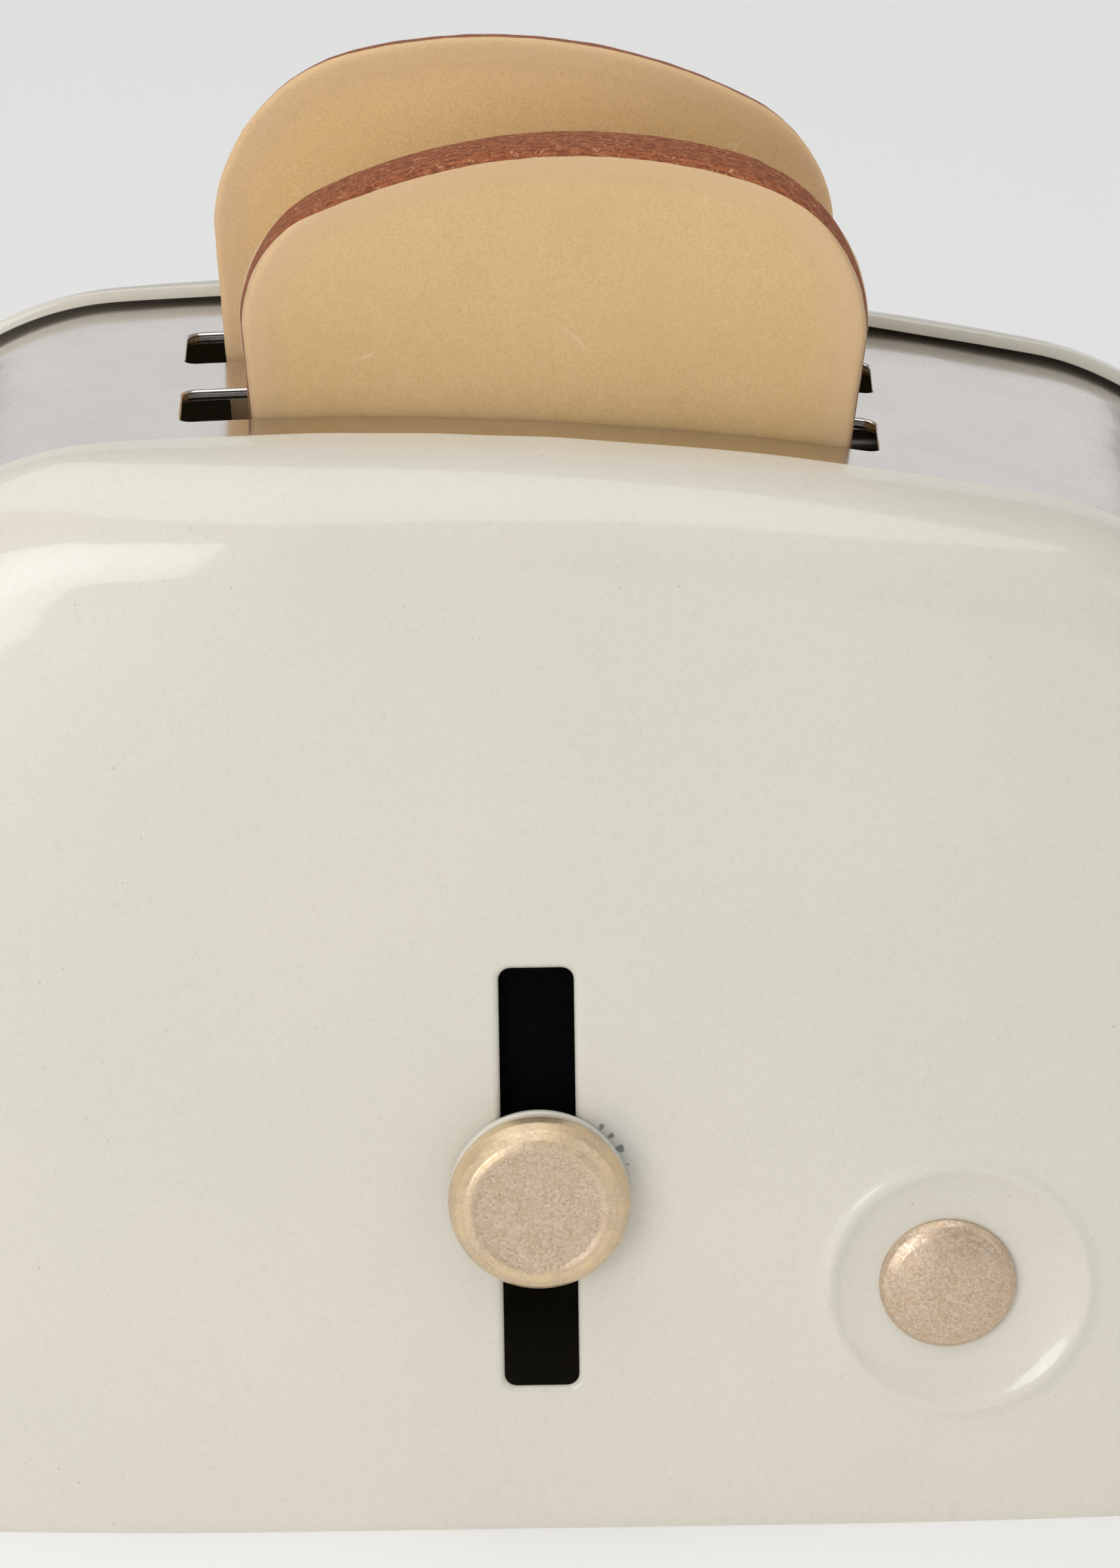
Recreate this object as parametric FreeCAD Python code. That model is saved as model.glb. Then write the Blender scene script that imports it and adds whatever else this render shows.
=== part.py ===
import FreeCAD, Part
import math
import os

# Toy toaster of pressed, enamelled sheet with two cast bread slices. Millimetres, +Z up, front towards -Y.
# The origin is on the resting surface, under the middle of the casing.

V = FreeCAD.Vector
X_AXIS = V(1, 0, 0)
Y_AXIS = V(0, 1, 0)
Z_AXIS = V(0, 0, 1)

# Cutting forms reach this far past what they cut
past = 1.0

# Casing: two pressed shells round an arched band
casing_width = 59.5
casing_depth = 30.0
crown_height = 45.1
crown_x = -9.4
arch_radius = 138.8
corner_radius = 12.5
sheet = 0.5
flange_run = 4.9
flange_slope = 6.0
shoulder_radius = 4.0
band_drop = 0.7
band_lap = 1.1

# Bread slots in the band
slot_length = 27.8
slot_width = 3.95
slot_web = 3.6
slot_x = -1.0
slot_corner = 0.5

# Lever slot in the front shell, and the lever's height as photographed
lever_x = -1.07
lever_slot_width = 3.0
lever_slot_low = 6.2
lever_slot_high = 24.2
lever_slot_corner = 0.5
lever_z = 14.7

# Knob, bush, washers and screw on the lever's axis
knob_radius = 3.64
knob_face_radius = 2.8
knob_thickness = 1.7
knob_step = 0.25
knob_screw_depth = 1.0
disc_radius = 3.6
disc_thickness = 0.35
bush_radius = 1.3
screw_radius = 0.8
screw_fit = 0.05
screw_head_radius = 1.9
screw_head_height = 0.8
screw_head_rounding = 0.32
screw_drive_width = 0.45
screw_drive_depth = 0.35
friction_disc_radius = 2.6
friction_disc_thickness = 0.3
spring_disc_radius = 2.2
spring_disc_thickness = 0.2
face_clearance = 0.05

# Stud that looks like a push button, in its pressed dish
dish_x = 15.7
dish_z = 10.2
dish_radius = 4.95
dish_depth = 0.6
stud_x = 15.25
stud_z = 10.3
stud_radius = 2.76
stud_height = 0.8
stud_dome = 0.45
stud_shank_radius = 0.8
stud_shank_fit = 0.05
stud_shank_root = 0.2
stud_shank_end = 0.3
stud_clip_radius = 1.9
stud_clip_thickness = 0.35

# Lift: carriage behind the front shell and the bread rack on it
carriage_width = 7.0
carriage_low = 10.4
rack_top = 32.2
rack_half_depth = 7.7
rack_end_room = 0.6
rack_lip = 1.1
rack_spine_half = 2.1
rack_spine_relief = 0.4
rack_window_width = 3.0
rack_window_end = 3.2
rack_window_corner = 1.0
arm_lap = 1.9
rack_rivet_radius = 0.5
rack_rivet_head_radius = 0.7
rack_rivet_head = 0.35
rack_rivet_spacing = 4.4

# Wire guide frame that the rack runs on
guide_radius = 0.6
guide_fit = 0.08
guide_out = 1.8
guide_bend = 1.3
guide_top = 41.05
guide_ear = 1.9
lock_washer_radius = 1.7
lock_washer_thickness = 0.3
lock_washer_fit = 0.01

# Base plate with its screws, and the lugs and feet that they hold
base_thickness = 0.8
base_gap = 0.2
lug_width = 6.0
lug_length = 5.0
lug_x = 19.0
lug_hole_share = 0.6
foot_length = 5.0
foot_width = 8.0
base_screw_radius = 0.7
base_screw_head_radius = 1.3
base_screw_head = 0.5
base_screw_length = 2.6
base_screw_fit = 0.05
base_screw_cross = 0.3
base_screw_cross_depth = 0.25
seat_gap = 0.05

# Bread slices, cast with bevelled crusts
slice_half_width = 12.6
slice_crown_radius = 23.25
slice_crown_x = 1.2
slice_shoulder_left = 6.1
slice_shoulder_right = 7.5
slice_height = 23.05
back_slice_extra = 1.65
slice_foot_half = 11.1
slice_foot_corner = 1.5
slice_foot_bulge = 0.42
slice_thickness = 1.9
slice_bevel = 0.2
front_slice_x = -0.5
front_slice_gap = 0.2
front_slice_roll = 2.0
back_slice_x = -1.65
back_slice_gap = 1.2
back_slice_lean = 5.5
back_slice_roll = 1.8
slice_seat = 0.05

# Places that follow from the sizes above
front_y = -casing_depth / 2
mouth_half = casing_depth / 2 - flange_run
flange_rate = math.tan(math.radians(flange_slope))
wall_in = sheet / math.cos(math.radians(flange_slope))
inner_y = front_y + sheet
slot_centre_y = (slot_web + slot_width) / 2
base_half_x = casing_width / 2 - flange_run * flange_rate - wall_in - base_gap
base_half_y = casing_depth / 2 - sheet - base_gap
lug_floor = base_thickness + seat_gap
rack_low = rack_top - sheet
rack_left = slot_x - slot_length / 2 - rack_end_room
rack_right = slot_x + slot_length / 2 + rack_end_room
guide_left = rack_left - guide_out
guide_right = rack_right + guide_out
friction_y = inner_y + face_clearance
spring_y = friction_y + friction_disc_thickness
carriage_y = spring_y + spring_disc_thickness
disc_y = front_y - face_clearance - disc_thickness
dish_sphere = (dish_radius ** 2 + dish_depth ** 2) / (2 * dish_depth)
dish_floor_y = front_y + dish_depth


def block(x0, x1, y0, y1, z0, z1):
    return Part.makeBox(x1 - x0, y1 - y0, z1 - z0, V(x0, y0, z0))


def disc_y_axis(radius, x, z, y0, y1):
    return Part.makeCylinder(radius, y1 - y0, V(x, y0, z), Y_AXIS)


def disc_z_axis(radius, x, y, z0, z1):
    return Part.makeCylinder(radius, z1 - z0, V(x, y, z0), Z_AXIS)


def round_edges(shape, radius, wanted):
    """Round those edges of a shape that pass a test."""
    edges = [edge for edge in shape.Edges if wanted(edge)]
    return shape.makeFillet(radius, edges)


def runs_along(edge, axis):
    ends = edge.Vertexes
    if len(ends) < 2:
        return False
    span = ends[1].Point.sub(ends[0].Point)
    return span.Length > 0 and abs(abs(span.normalize().dot(axis)) - 1) < 1e-6


def casing_outline(inset, y, floor):
    """Front outline of the casing: straight sides, two corners and an arch with its crown left of middle."""
    half = casing_width / 2 - inset
    corner = corner_radius - inset
    arch = arch_radius - inset
    arch_z = crown_height - arch_radius
    reach = arch_radius - corner_radius
    arcs = []
    for side in (1, -1):
        cx = side * (casing_width / 2 - corner_radius)
        cz = arch_z + math.sqrt(reach ** 2 - (cx - crown_x) ** 2)
        out = V((cx - crown_x) / reach, 0, (cz - arch_z) / reach)
        middle = V(out.x + side, 0, out.z).normalize()
        centre = V(cx, y, cz)
        side_end = V(side * half, y, cz)
        arcs.append((side_end, centre + middle * corner, centre + out * corner))
    right, left = arcs
    top = V(crown_x, y, arch_z + arch)
    low_right = V(half, y, floor)
    low_left = V(-half, y, floor)
    edges = [
        Part.LineSegment(low_left, low_right).toShape(),
        Part.LineSegment(low_right, right[0]).toShape(),
        Part.Arc(right[0], right[1], right[2]).toShape(),
        Part.Arc(right[2], top, left[2]).toShape(),
        Part.Arc(left[2], left[1], left[0]).toShape(),
        Part.LineSegment(left[0], low_left).toShape(),
    ]
    return Part.Wire(edges)


def pan_block(wall, face_y, radius, past_mouth, floor):
    """Solid form of a pressed pan, from its mouth to its rounded face. A wall makes the inner form."""
    mouth_y = -mouth_half + past_mouth
    mouth_inset = wall - past_mouth * flange_rate
    face_inset = wall + (-mouth_half - face_y) * flange_rate
    form = Part.makeLoft([
        casing_outline(mouth_inset, mouth_y, floor),
        casing_outline(face_inset, face_y, floor),
    ], True, True)
    return round_edges(form, radius, lambda edge: (
        abs(edge.BoundBox.YMin - face_y) < 1e-4
        and abs(edge.BoundBox.YMax - face_y) < 1e-4
        and edge.BoundBox.ZMax > floor + 1
    ))


def shell_pan():
    """Pressed pan, open at its mouth and below, with two lugs turned in at the foot for the base screws."""
    outer = pan_block(0, front_y, shoulder_radius, 0, 0)
    inner = pan_block(wall_in, inner_y, shoulder_radius - sheet, past, -past)
    pan = outer.cut(inner)
    for side in (-1, 1):
        x = side * lug_x
        lug = block(x - lug_width / 2, x + lug_width / 2, inner_y - sheet / 2, inner_y + lug_length,
                    lug_floor, lug_floor + sheet)
        hole = disc_z_axis(base_screw_radius + base_screw_fit, x, base_screw_y(), 0, lug_floor + past)
        pan = pan.fuse(lug).cut(hole)
    return pan.removeSplitter()


def base_screw_y():
    return inner_y + lug_length * lug_hole_share


def base_screw_places():
    places = [(side * lug_x, face * base_screw_y()) for side in (-1, 1) for face in (1, -1)]
    foot_x = casing_width / 2 - band_drop - sheet - foot_length * lug_hole_share
    places += [(side * foot_x, 0.0) for side in (-1, 1)]
    return places


def lever_slot():
    low = lever_slot_low
    form = block(lever_x - lever_slot_width / 2, lever_x + lever_slot_width / 2,
                 front_y - past, inner_y + past, low, lever_slot_high)
    return round_edges(form, lever_slot_corner, lambda edge: runs_along(edge, Y_AXIS))


def dish_boss():
    """Back of the pressed dish, which stands into the casing."""
    ball = Part.makeSphere(dish_sphere + sheet, V(dish_x, dish_floor_y - dish_sphere, dish_z))
    reach = dish_radius + sheet
    slab = disc_y_axis(reach, dish_x, dish_z, inner_y - sheet / 2, inner_y + dish_depth + sheet)
    return ball.common(slab)


def dish_hollow():
    return Part.makeSphere(dish_sphere, V(dish_x, dish_floor_y - dish_sphere, dish_z))


def front_shell():
    pan = shell_pan()
    pan = pan.fuse(dish_boss()).cut(dish_hollow())
    pan = pan.cut(disc_y_axis(stud_shank_radius + stud_shank_fit, stud_x, stud_z, front_y, stud_clip_y()))
    return pan.cut(lever_slot()).removeSplitter()


def back_shell():
    return shell_pan().mirror(V(0, 0, 0), Y_AXIS)


def band_prism(inset, floor):
    half = mouth_half + band_lap
    face = Part.Face(casing_outline(inset, -half, floor))
    return face.extrude(V(0, 2 * half, 0))


def bread_slot(side):
    y = side * slot_centre_y
    form = block(slot_x - slot_length / 2, slot_x + slot_length / 2,
                 y - slot_width / 2, y + slot_width / 2, rack_top, crown_height + past)
    return round_edges(form, slot_corner, lambda edge: runs_along(edge, Z_AXIS))


def top_band():
    """Arched band between the shells, down both ends to a foot on the base plate, with the bread slots."""
    band = band_prism(band_drop, lug_floor).cut(band_prism(band_drop + sheet, -past))
    foot_end = casing_width / 2 - band_drop - sheet / 2
    for side in (-1, 1):
        tip = foot_end - sheet / 2 - foot_length
        x0, x1 = sorted((side * tip, side * foot_end))
        foot = block(x0, x1, -foot_width / 2, foot_width / 2, lug_floor, lug_floor + sheet)
        band = band.fuse(foot)
        band = band.cut(bread_slot(side))
    for x, y in base_screw_places():
        if y == 0:
            band = band.cut(disc_z_axis(base_screw_radius + base_screw_fit, x, y, 0, lug_floor + past))
    return band.removeSplitter()


def base_plate():
    plate = block(-base_half_x, base_half_x, -base_half_y, base_half_y, 0, base_thickness)
    corner = shoulder_radius - sheet
    plate = round_edges(plate, corner, lambda edge: runs_along(edge, Z_AXIS))
    for x, y in base_screw_places():
        plate = plate.cut(screw_form(x, y, base_screw_fit))
    for x in (guide_left, guide_right):
        plate = plate.cut(disc_z_axis(guide_radius + base_screw_fit, x, 0, -past, base_thickness + past))
    return plate


def screw_form(x, y, grow):
    """Countersunk screw standing head down, or with grow the hole for it."""
    head = Part.makeCone(base_screw_head_radius + grow, base_screw_radius + grow, base_screw_head,
                         V(x, y, 0), Z_AXIS)
    shank = disc_z_axis(base_screw_radius + grow, x, y, 0, base_screw_length)
    return head.fuse(shank)


def base_screws():
    screws = []
    for x, y in base_screw_places():
        screw = screw_form(x, y, 0)
        arm = base_screw_radius
        half = base_screw_cross / 2
        cross = block(x - arm, x + arm, y - half, y + half, -past, base_screw_cross_depth)
        cross = cross.fuse(block(x - half, x + half, y - arm, y + arm, -past, base_screw_cross_depth))
        screws.append(screw.cut(cross).removeSplitter())
    return Part.makeCompound(screws)


def guide_frame():
    """Round wire bent like a staple: two legs in the base plate and a cross bar under the band."""
    x0 = guide_left
    x1 = guide_right
    r = guide_bend
    z = guide_top
    k = r * (1 - math.sqrt(0.5))
    foot = seat_gap
    path = Part.Wire([
        Part.LineSegment(V(x0, 0, foot), V(x0, 0, z - r)).toShape(),
        Part.Arc(V(x0, 0, z - r), V(x0 + k, 0, z - k), V(x0 + r, 0, z)).toShape(),
        Part.LineSegment(V(x0 + r, 0, z), V(x1 - r, 0, z)).toShape(),
        Part.Arc(V(x1 - r, 0, z), V(x1 - k, 0, z - k), V(x1, 0, z - r)).toShape(),
        Part.LineSegment(V(x1, 0, z - r), V(x1, 0, foot)).toShape(),
    ])
    ring = Part.Wire([Part.makeCircle(guide_radius, V(x0, 0, foot), Z_AXIS)])
    return path.makePipeShell([ring], True, False)


def lock_washers():
    """Push-on washers that hold the wire's feet on the base plate."""
    low = base_thickness
    washers = []
    for x in (guide_left, guide_right):
        washer = disc_z_axis(lock_washer_radius, x, 0, low, low + lock_washer_thickness)
        washers.append(washer.cut(disc_z_axis(guide_radius + lock_washer_fit, x, 0, low - past, low + past)))
    return Part.makeCompound(washers)


def knob_profile():
    """Half section of the knob from its axis out: flat face, rounded rim, side and stepped back."""
    back = disc_y - face_clearance
    face = back - knob_thickness
    rim = knob_radius - knob_face_radius
    side_y = face + rim
    k = rim * (1 - math.sqrt(0.5))
    points = [
        Part.LineSegment(V(0, back, 0), V(0, face, 0)).toShape(),
        Part.LineSegment(V(0, face, 0), V(knob_face_radius, face, 0)).toShape(),
        Part.Arc(V(knob_face_radius, face, 0), V(knob_radius - k, face + k, 0),
                 V(knob_radius, side_y, 0)).toShape(),
        Part.LineSegment(V(knob_radius, side_y, 0), V(knob_radius, back - 2 * knob_step, 0)).toShape(),
        Part.LineSegment(V(knob_radius, back - 2 * knob_step, 0),
                         V(knob_radius - knob_step, back - knob_step, 0)).toShape(),
        Part.LineSegment(V(knob_radius - knob_step, back - knob_step, 0),
                         V(knob_radius - knob_step, back, 0)).toShape(),
        Part.LineSegment(V(knob_radius - knob_step, back, 0), V(0, back, 0)).toShape(),
    ]
    return Part.Wire(points)


def lever_knob():
    knob = Part.Face(knob_profile()).revolve(V(0, 0, 0), Y_AXIS, 360)
    knob.translate(V(lever_x, 0, lever_z))
    back = disc_y - face_clearance
    hole_end = back - knob_screw_depth - screw_fit
    hole = disc_y_axis(screw_radius + screw_fit, lever_x, lever_z, hole_end, back + past)
    return knob.cut(hole)


def washer_y(radius, bore, y0, thickness):
    ring = disc_y_axis(radius, lever_x, lever_z, y0, y0 + thickness)
    return ring.cut(disc_y_axis(bore, lever_x, lever_z, y0 - past, y0 + thickness + past))


def knob_disc():
    return washer_y(disc_radius, screw_radius + screw_fit, disc_y, disc_thickness)


def slot_bush():
    """Bush on the screw that runs in the lever slot, as long as the way from disc to friction disc."""
    return washer_y(bush_radius, screw_radius + screw_fit, disc_y + disc_thickness,
                    friction_y - disc_y - disc_thickness)


def friction_disc():
    return washer_y(friction_disc_radius, screw_radius + screw_fit, friction_y, friction_disc_thickness)


def spring_disc():
    return washer_y(spring_disc_radius, screw_radius + screw_fit, spring_y, spring_disc_thickness)


def lever_screw():
    head_y = carriage_y + sheet
    tip = disc_y - face_clearance - knob_screw_depth
    screw = disc_y_axis(screw_radius, lever_x, lever_z, tip, head_y)
    head = disc_y_axis(screw_head_radius, lever_x, lever_z, head_y, head_y + screw_head_height)
    head = round_edges(head, screw_head_rounding, lambda edge: (
        abs(edge.BoundBox.YMin - head_y - screw_head_height) < 1e-4))
    top = head_y + screw_head_height
    reach = screw_head_radius + past
    cut = block(lever_x - reach, lever_x + reach, top - screw_drive_depth, top + past,
                lever_z - screw_drive_width / 2, lever_z + screw_drive_width / 2)
    return screw.fuse(head).cut(cut).removeSplitter()


def rack_rivet_places():
    y = -rack_half_depth + sheet + rack_rivet_head_radius + seat_gap
    return [(lever_x + side * rack_rivet_spacing / 2, y) for side in (-1, 1)]


def lift_carriage():
    """Sheet strip behind the front shell, bent over at the top into the arm under the rack."""
    x0 = lever_x - carriage_width / 2
    x1 = lever_x + carriage_width / 2
    arm_end = -rack_half_depth + arm_lap + sheet
    upright = block(x0, x1, carriage_y, carriage_y + sheet, carriage_low, rack_low)
    arm = block(x0, x1, carriage_y, arm_end, rack_low - sheet, rack_low)
    strip = upright.fuse(arm).removeSplitter()
    strip = round_edges(strip, 2 * sheet, lambda edge: (
        runs_along(edge, X_AXIS)
        and abs(edge.BoundBox.YMax - carriage_y) < 1e-4
        and abs(edge.BoundBox.ZMax - rack_low) < 1e-4))
    strip = strip.cut(disc_y_axis(screw_radius + screw_fit, lever_x, lever_z,
                                  carriage_y - past, carriage_y + past))
    for x, y in rack_rivet_places():
        strip = strip.cut(disc_z_axis(rack_rivet_radius, x, y, rack_low - past, rack_low + past))
    return strip


def bread_rack():
    """Pressed tray under both slots, with lips round it and ears that run on the wire guides."""
    tray = block(rack_left, rack_right, -rack_half_depth, rack_half_depth, rack_low, rack_top)
    ear_left = guide_left - guide_ear
    ear_right = guide_right + guide_ear
    tray = tray.fuse(block(ear_left, ear_right, -rack_spine_half, rack_spine_half, rack_low, rack_top))
    lip_top = rack_top + rack_lip
    for side in (-1, 1):
        y0, y1 = sorted((side * rack_half_depth, side * (rack_half_depth - sheet)))
        tray = tray.fuse(block(rack_left, rack_right, y0, y1, rack_low, lip_top))
        end = rack_right if side > 0 else rack_left
        x0, x1 = sorted((end, end - side * sheet))
        for half in (-1, 1):
            y0, y1 = sorted((half * (rack_spine_half + rack_spine_relief), half * rack_half_depth))
            tray = tray.fuse(block(x0, x1, y0, y1, rack_low, lip_top))
    tray = tray.removeSplitter()
    for x in (guide_left, guide_right):
        tray = tray.cut(disc_z_axis(guide_radius + guide_fit, x, 0, rack_low - past, rack_top + past))
    middle = (rack_left + rack_right) / 2
    for side in (-1, 1):
        y = side * slot_centre_y
        for x0, x1 in ((rack_left + rack_window_end, middle - rack_window_end),
                       (middle + rack_window_end, rack_right - rack_window_end)):
            window = block(x0, x1, y - rack_window_width / 2, y + rack_window_width / 2,
                           rack_low - past, rack_top + past)
            window = round_edges(window, rack_window_corner, lambda edge: runs_along(edge, Z_AXIS))
            tray = tray.cut(window)
    for x, y in rack_rivet_places():
        tray = tray.cut(disc_z_axis(rack_rivet_radius, x, y, rack_low - past, rack_top + past))
    return tray


def rack_rivets():
    rivets = []
    for x, y in rack_rivet_places():
        low = rack_low - sheet
        rivet = disc_z_axis(rack_rivet_radius, x, y, low - rack_rivet_head, rack_top + rack_rivet_head)
        upper = disc_z_axis(rack_rivet_head_radius, x, y, rack_top, rack_top + rack_rivet_head)
        lower = disc_z_axis(rack_rivet_head_radius, x, y, low - rack_rivet_head, low)
        rivets.append(rivet.fuse(upper).fuse(lower).removeSplitter())
    return Part.makeCompound(rivets)


def stud_seat_y():
    """Depth of the dish's floor at the stud, which stands a little off its middle."""
    off = math.hypot(stud_x - dish_x, stud_z - dish_z)
    return dish_floor_y - dish_sphere + math.sqrt(dish_sphere ** 2 - off ** 2)


def button_stud():
    """Domed stud with a rounded rim. Its back follows the dish and its shank goes through the shell."""
    seat = stud_seat_y()
    face = seat - stud_height
    rise = stud_dome
    ball = (stud_radius ** 2 + rise ** 2) / (2 * rise)
    body = disc_y_axis(stud_radius, stud_x, stud_z, face - past, seat + past)
    dome = Part.makeSphere(ball, V(stud_x, face + ball, stud_z))
    dish = Part.makeSphere(dish_sphere - seat_gap, V(dish_x, dish_floor_y - dish_sphere, dish_z))
    head = body.common(dome).common(dish)
    tip = stud_clip_y() + stud_clip_thickness + stud_shank_end
    shank = disc_y_axis(stud_shank_radius, stud_x, stud_z, seat - stud_shank_root, tip)
    return head.fuse(shank).removeSplitter()


def stud_clip_y():
    return dish_floor_y + sheet + seat_gap


def stud_clip():
    ring = disc_y_axis(stud_clip_radius, stud_x, stud_z, stud_clip_y(), stud_clip_y() + stud_clip_thickness)
    return ring.cut(disc_y_axis(stud_shank_radius, stud_x, stud_z, inner_y, inner_y + stud_radius))


def slice_half_outline(height, inset, side):
    """Points of one side of a slice: foot, rounded corner, side, shoulder and its join with the crown."""
    radius = slice_shoulder_right if side > 0 else slice_shoulder_left
    half = slice_half_width - inset
    shoulder = radius - inset
    foot_tip = V(side * (slice_foot_half - inset), 0, 0)
    crown_z = height - slice_crown_radius
    cx = side * (slice_half_width - radius)
    reach = slice_crown_radius - radius
    cz = crown_z + math.sqrt(reach ** 2 - (cx - slice_crown_x) ** 2)
    out = V((cx - slice_crown_x) / reach, 0, (cz - crown_z) / reach)
    middle = V(out.x + side, 0, out.z).normalize()
    centre = V(cx, 0, cz)
    side_top = V(side * half, 0, cz)
    down = (foot_tip - side_top).normalize()
    side_low = foot_tip - down * slice_foot_corner
    foot_end = foot_tip - V(side * slice_foot_corner, 0, 0)
    chord_middle = (side_low + foot_end) * 0.5
    bulge = chord_middle + (foot_tip - chord_middle) * slice_foot_bulge
    return [foot_end, bulge, side_low, side_top, centre + middle * shoulder, centre + out * shoulder]


def slice_outline(height, inset, y):
    """Outline of a bread slice, its foot at z = 0 and its middle at x = 0. Its crown lies right of middle."""
    across = V(0, y, 0)
    right = [point + across for point in slice_half_outline(height, inset, 1)]
    left = [point + across for point in slice_half_outline(height, inset, -1)]
    return Part.Wire([
        Part.LineSegment(left[0], right[0]).toShape(),
        Part.Arc(right[0], right[1], right[2]).toShape(),
        Part.LineSegment(right[2], right[3]).toShape(),
        Part.Arc(right[3], right[4], right[5]).toShape(),
        Part.Arc(right[5], V(slice_crown_x, y, height - inset), left[5]).toShape(),
        Part.Arc(left[5], left[4], left[3]).toShape(),
        Part.LineSegment(left[3], left[2]).toShape(),
        Part.Arc(left[2], left[1], left[0]).toShape(),
    ])


def bread_slice(height):
    """Slice with its smaller face in front at y = 0."""
    near = slice_outline(height, slice_bevel, 0)
    far = slice_outline(height, 0, slice_thickness)
    return Part.makeLoft([near, far], True, True)


def front_slice():
    """It stands turned a little in its own plane, right corner down."""
    piece = bread_slice(slice_height)
    piece.rotate(V(0, 0, 0), Y_AXIS, front_slice_roll)
    y = -slot_centre_y - slot_width / 2 + front_slice_gap
    piece.translate(V(front_slice_x, y, rack_top + slice_seat - piece.BoundBox.ZMin))
    return piece


def back_slice():
    """A slice turned back to front. It leans back and is turned a little in its own plane."""
    piece = bread_slice(slice_height + back_slice_extra)
    piece.rotate(V(0, slice_thickness / 2, 0), Z_AXIS, 180)
    piece.rotate(V(0, 0, 0), Y_AXIS, back_slice_roll)
    piece.rotate(V(0, 0, 0), X_AXIS, -back_slice_lean)
    near_edge = slot_centre_y - slot_width / 2
    drop = crown_height - band_drop - rack_top
    y = near_edge + back_slice_gap - drop * math.tan(math.radians(back_slice_lean))
    piece.translate(V(back_slice_x, y, rack_top + slice_seat - piece.BoundBox.ZMin))
    return piece


NODES = {
    "front_shell": front_shell,
    "back_shell": back_shell,
    "top_band": top_band,
    "base_plate": base_plate,
    "base_screws": base_screws,
    "guide_frame": guide_frame,
    "lock_washers": lock_washers,
    "button_stud": button_stud,
    "stud_clip": stud_clip,
    "lever_knob": lever_knob,
    "knob_disc": knob_disc,
    "slot_bush": slot_bush,
    "friction_disc": friction_disc,
    "spring_disc": spring_disc,
    "lever_screw": lever_screw,
    "lift_carriage": lift_carriage,
    "bread_rack": bread_rack,
    "rack_rivets": rack_rivets,
    "front_slice": front_slice,
    "back_slice": back_slice,
}

os.makedirs("parts", exist_ok=True)
for node, make in NODES.items():
    shape = make()
    shape.exportStep("parts/" + node + ".step")
    box = shape.BoundBox
    print("%-14s solids %d valid %s volume %8.2f  x %7.2f %7.2f  y %7.2f %7.2f  z %6.2f %6.2f" % (
        node, len(shape.Solids), shape.isValid(), shape.Volume,
        box.XMin, box.XMax, box.YMin, box.YMax, box.ZMin, box.ZMax))
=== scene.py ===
import math

import bmesh
import bpy
from mathutils import Matrix, Vector, noise
from mathutils.geometry import delaunay_2d_cdt


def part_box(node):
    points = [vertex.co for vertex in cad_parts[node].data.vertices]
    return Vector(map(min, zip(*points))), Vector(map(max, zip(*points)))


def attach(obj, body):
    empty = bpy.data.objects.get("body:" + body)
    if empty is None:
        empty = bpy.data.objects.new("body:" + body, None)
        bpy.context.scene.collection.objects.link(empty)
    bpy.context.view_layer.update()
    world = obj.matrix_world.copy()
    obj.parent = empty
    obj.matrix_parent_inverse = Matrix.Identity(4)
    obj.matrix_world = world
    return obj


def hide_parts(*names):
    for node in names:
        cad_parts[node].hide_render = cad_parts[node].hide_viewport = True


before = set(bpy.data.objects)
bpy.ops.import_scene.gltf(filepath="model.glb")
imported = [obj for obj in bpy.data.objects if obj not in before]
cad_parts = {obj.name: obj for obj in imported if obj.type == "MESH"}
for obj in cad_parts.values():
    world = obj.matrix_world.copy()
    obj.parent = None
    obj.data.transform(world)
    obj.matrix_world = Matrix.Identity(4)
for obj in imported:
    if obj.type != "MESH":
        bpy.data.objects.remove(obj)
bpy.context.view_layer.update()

# Front pan. One sheet of steel pressed to a shallow open box and enamelled cream, with a punched
# lever slot whose edge is turned in a little and a round dish pressed for the stud.
# Sizes are in millimetres; MM turns them into the scene's metres.
MM = 0.001
pan_low, pan_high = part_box("front_shell")
half_width = pan_high.x / MM
face_y = pan_low.y / MM
crown_top = pan_high.z / MM
mouth_y = -10.1
pan_depth = mouth_y - face_y
crown_x = -9.4
arch_radius = 138.8
corner_radius = 12.5
flange_angle = math.radians(6.0)
shoulder_radius = 4.5
sheet = 0.5
edge_break = 0.05
arch_z = crown_top - arch_radius
corner_reach = arch_radius - corner_radius

# How finely the pressed surfaces are divided, and how far in from the outline their rings reach.
mesh_step = 0.55
weld_gap = 0.004
ring_reach = 7.6

bush_low, bush_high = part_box("slot_bush")
lever_x = (bush_low.x + bush_high.x) / 2 / MM
lever_slot_half = 1.5
lever_slot_bottom = 6.2
lever_slot_top = 24.2
lever_slot_corner = 0.5
lever_slot_roll = 0.32
dish_x = 15.7
dish_z = 10.2
dish_radius = 4.95
dish_depth = 0.6
dish_edge = 0.04
dish_lip = 0.15
dish_lip_out = 0.3
dish_lip_width = 0.34

# How the flat face is pillowed: over which width it falls back, and how far.
side_pillow = 18.0
side_pillow_fall = 1.1
top_pillow = 15.0
top_pillow_fall = 0.45
corner_pillow_x = -10.0
corner_pillow_z = 25.0
corner_pillow_width = 18.0
corner_pillow_height = 17.0
corner_pillow_fall = 2.3
face_unevenness = 0.05


def corner_centre(side):
    x = side * (half_width - corner_radius)
    return x, arch_z + math.sqrt(corner_reach ** 2 - (x - crown_x) ** 2)


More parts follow.
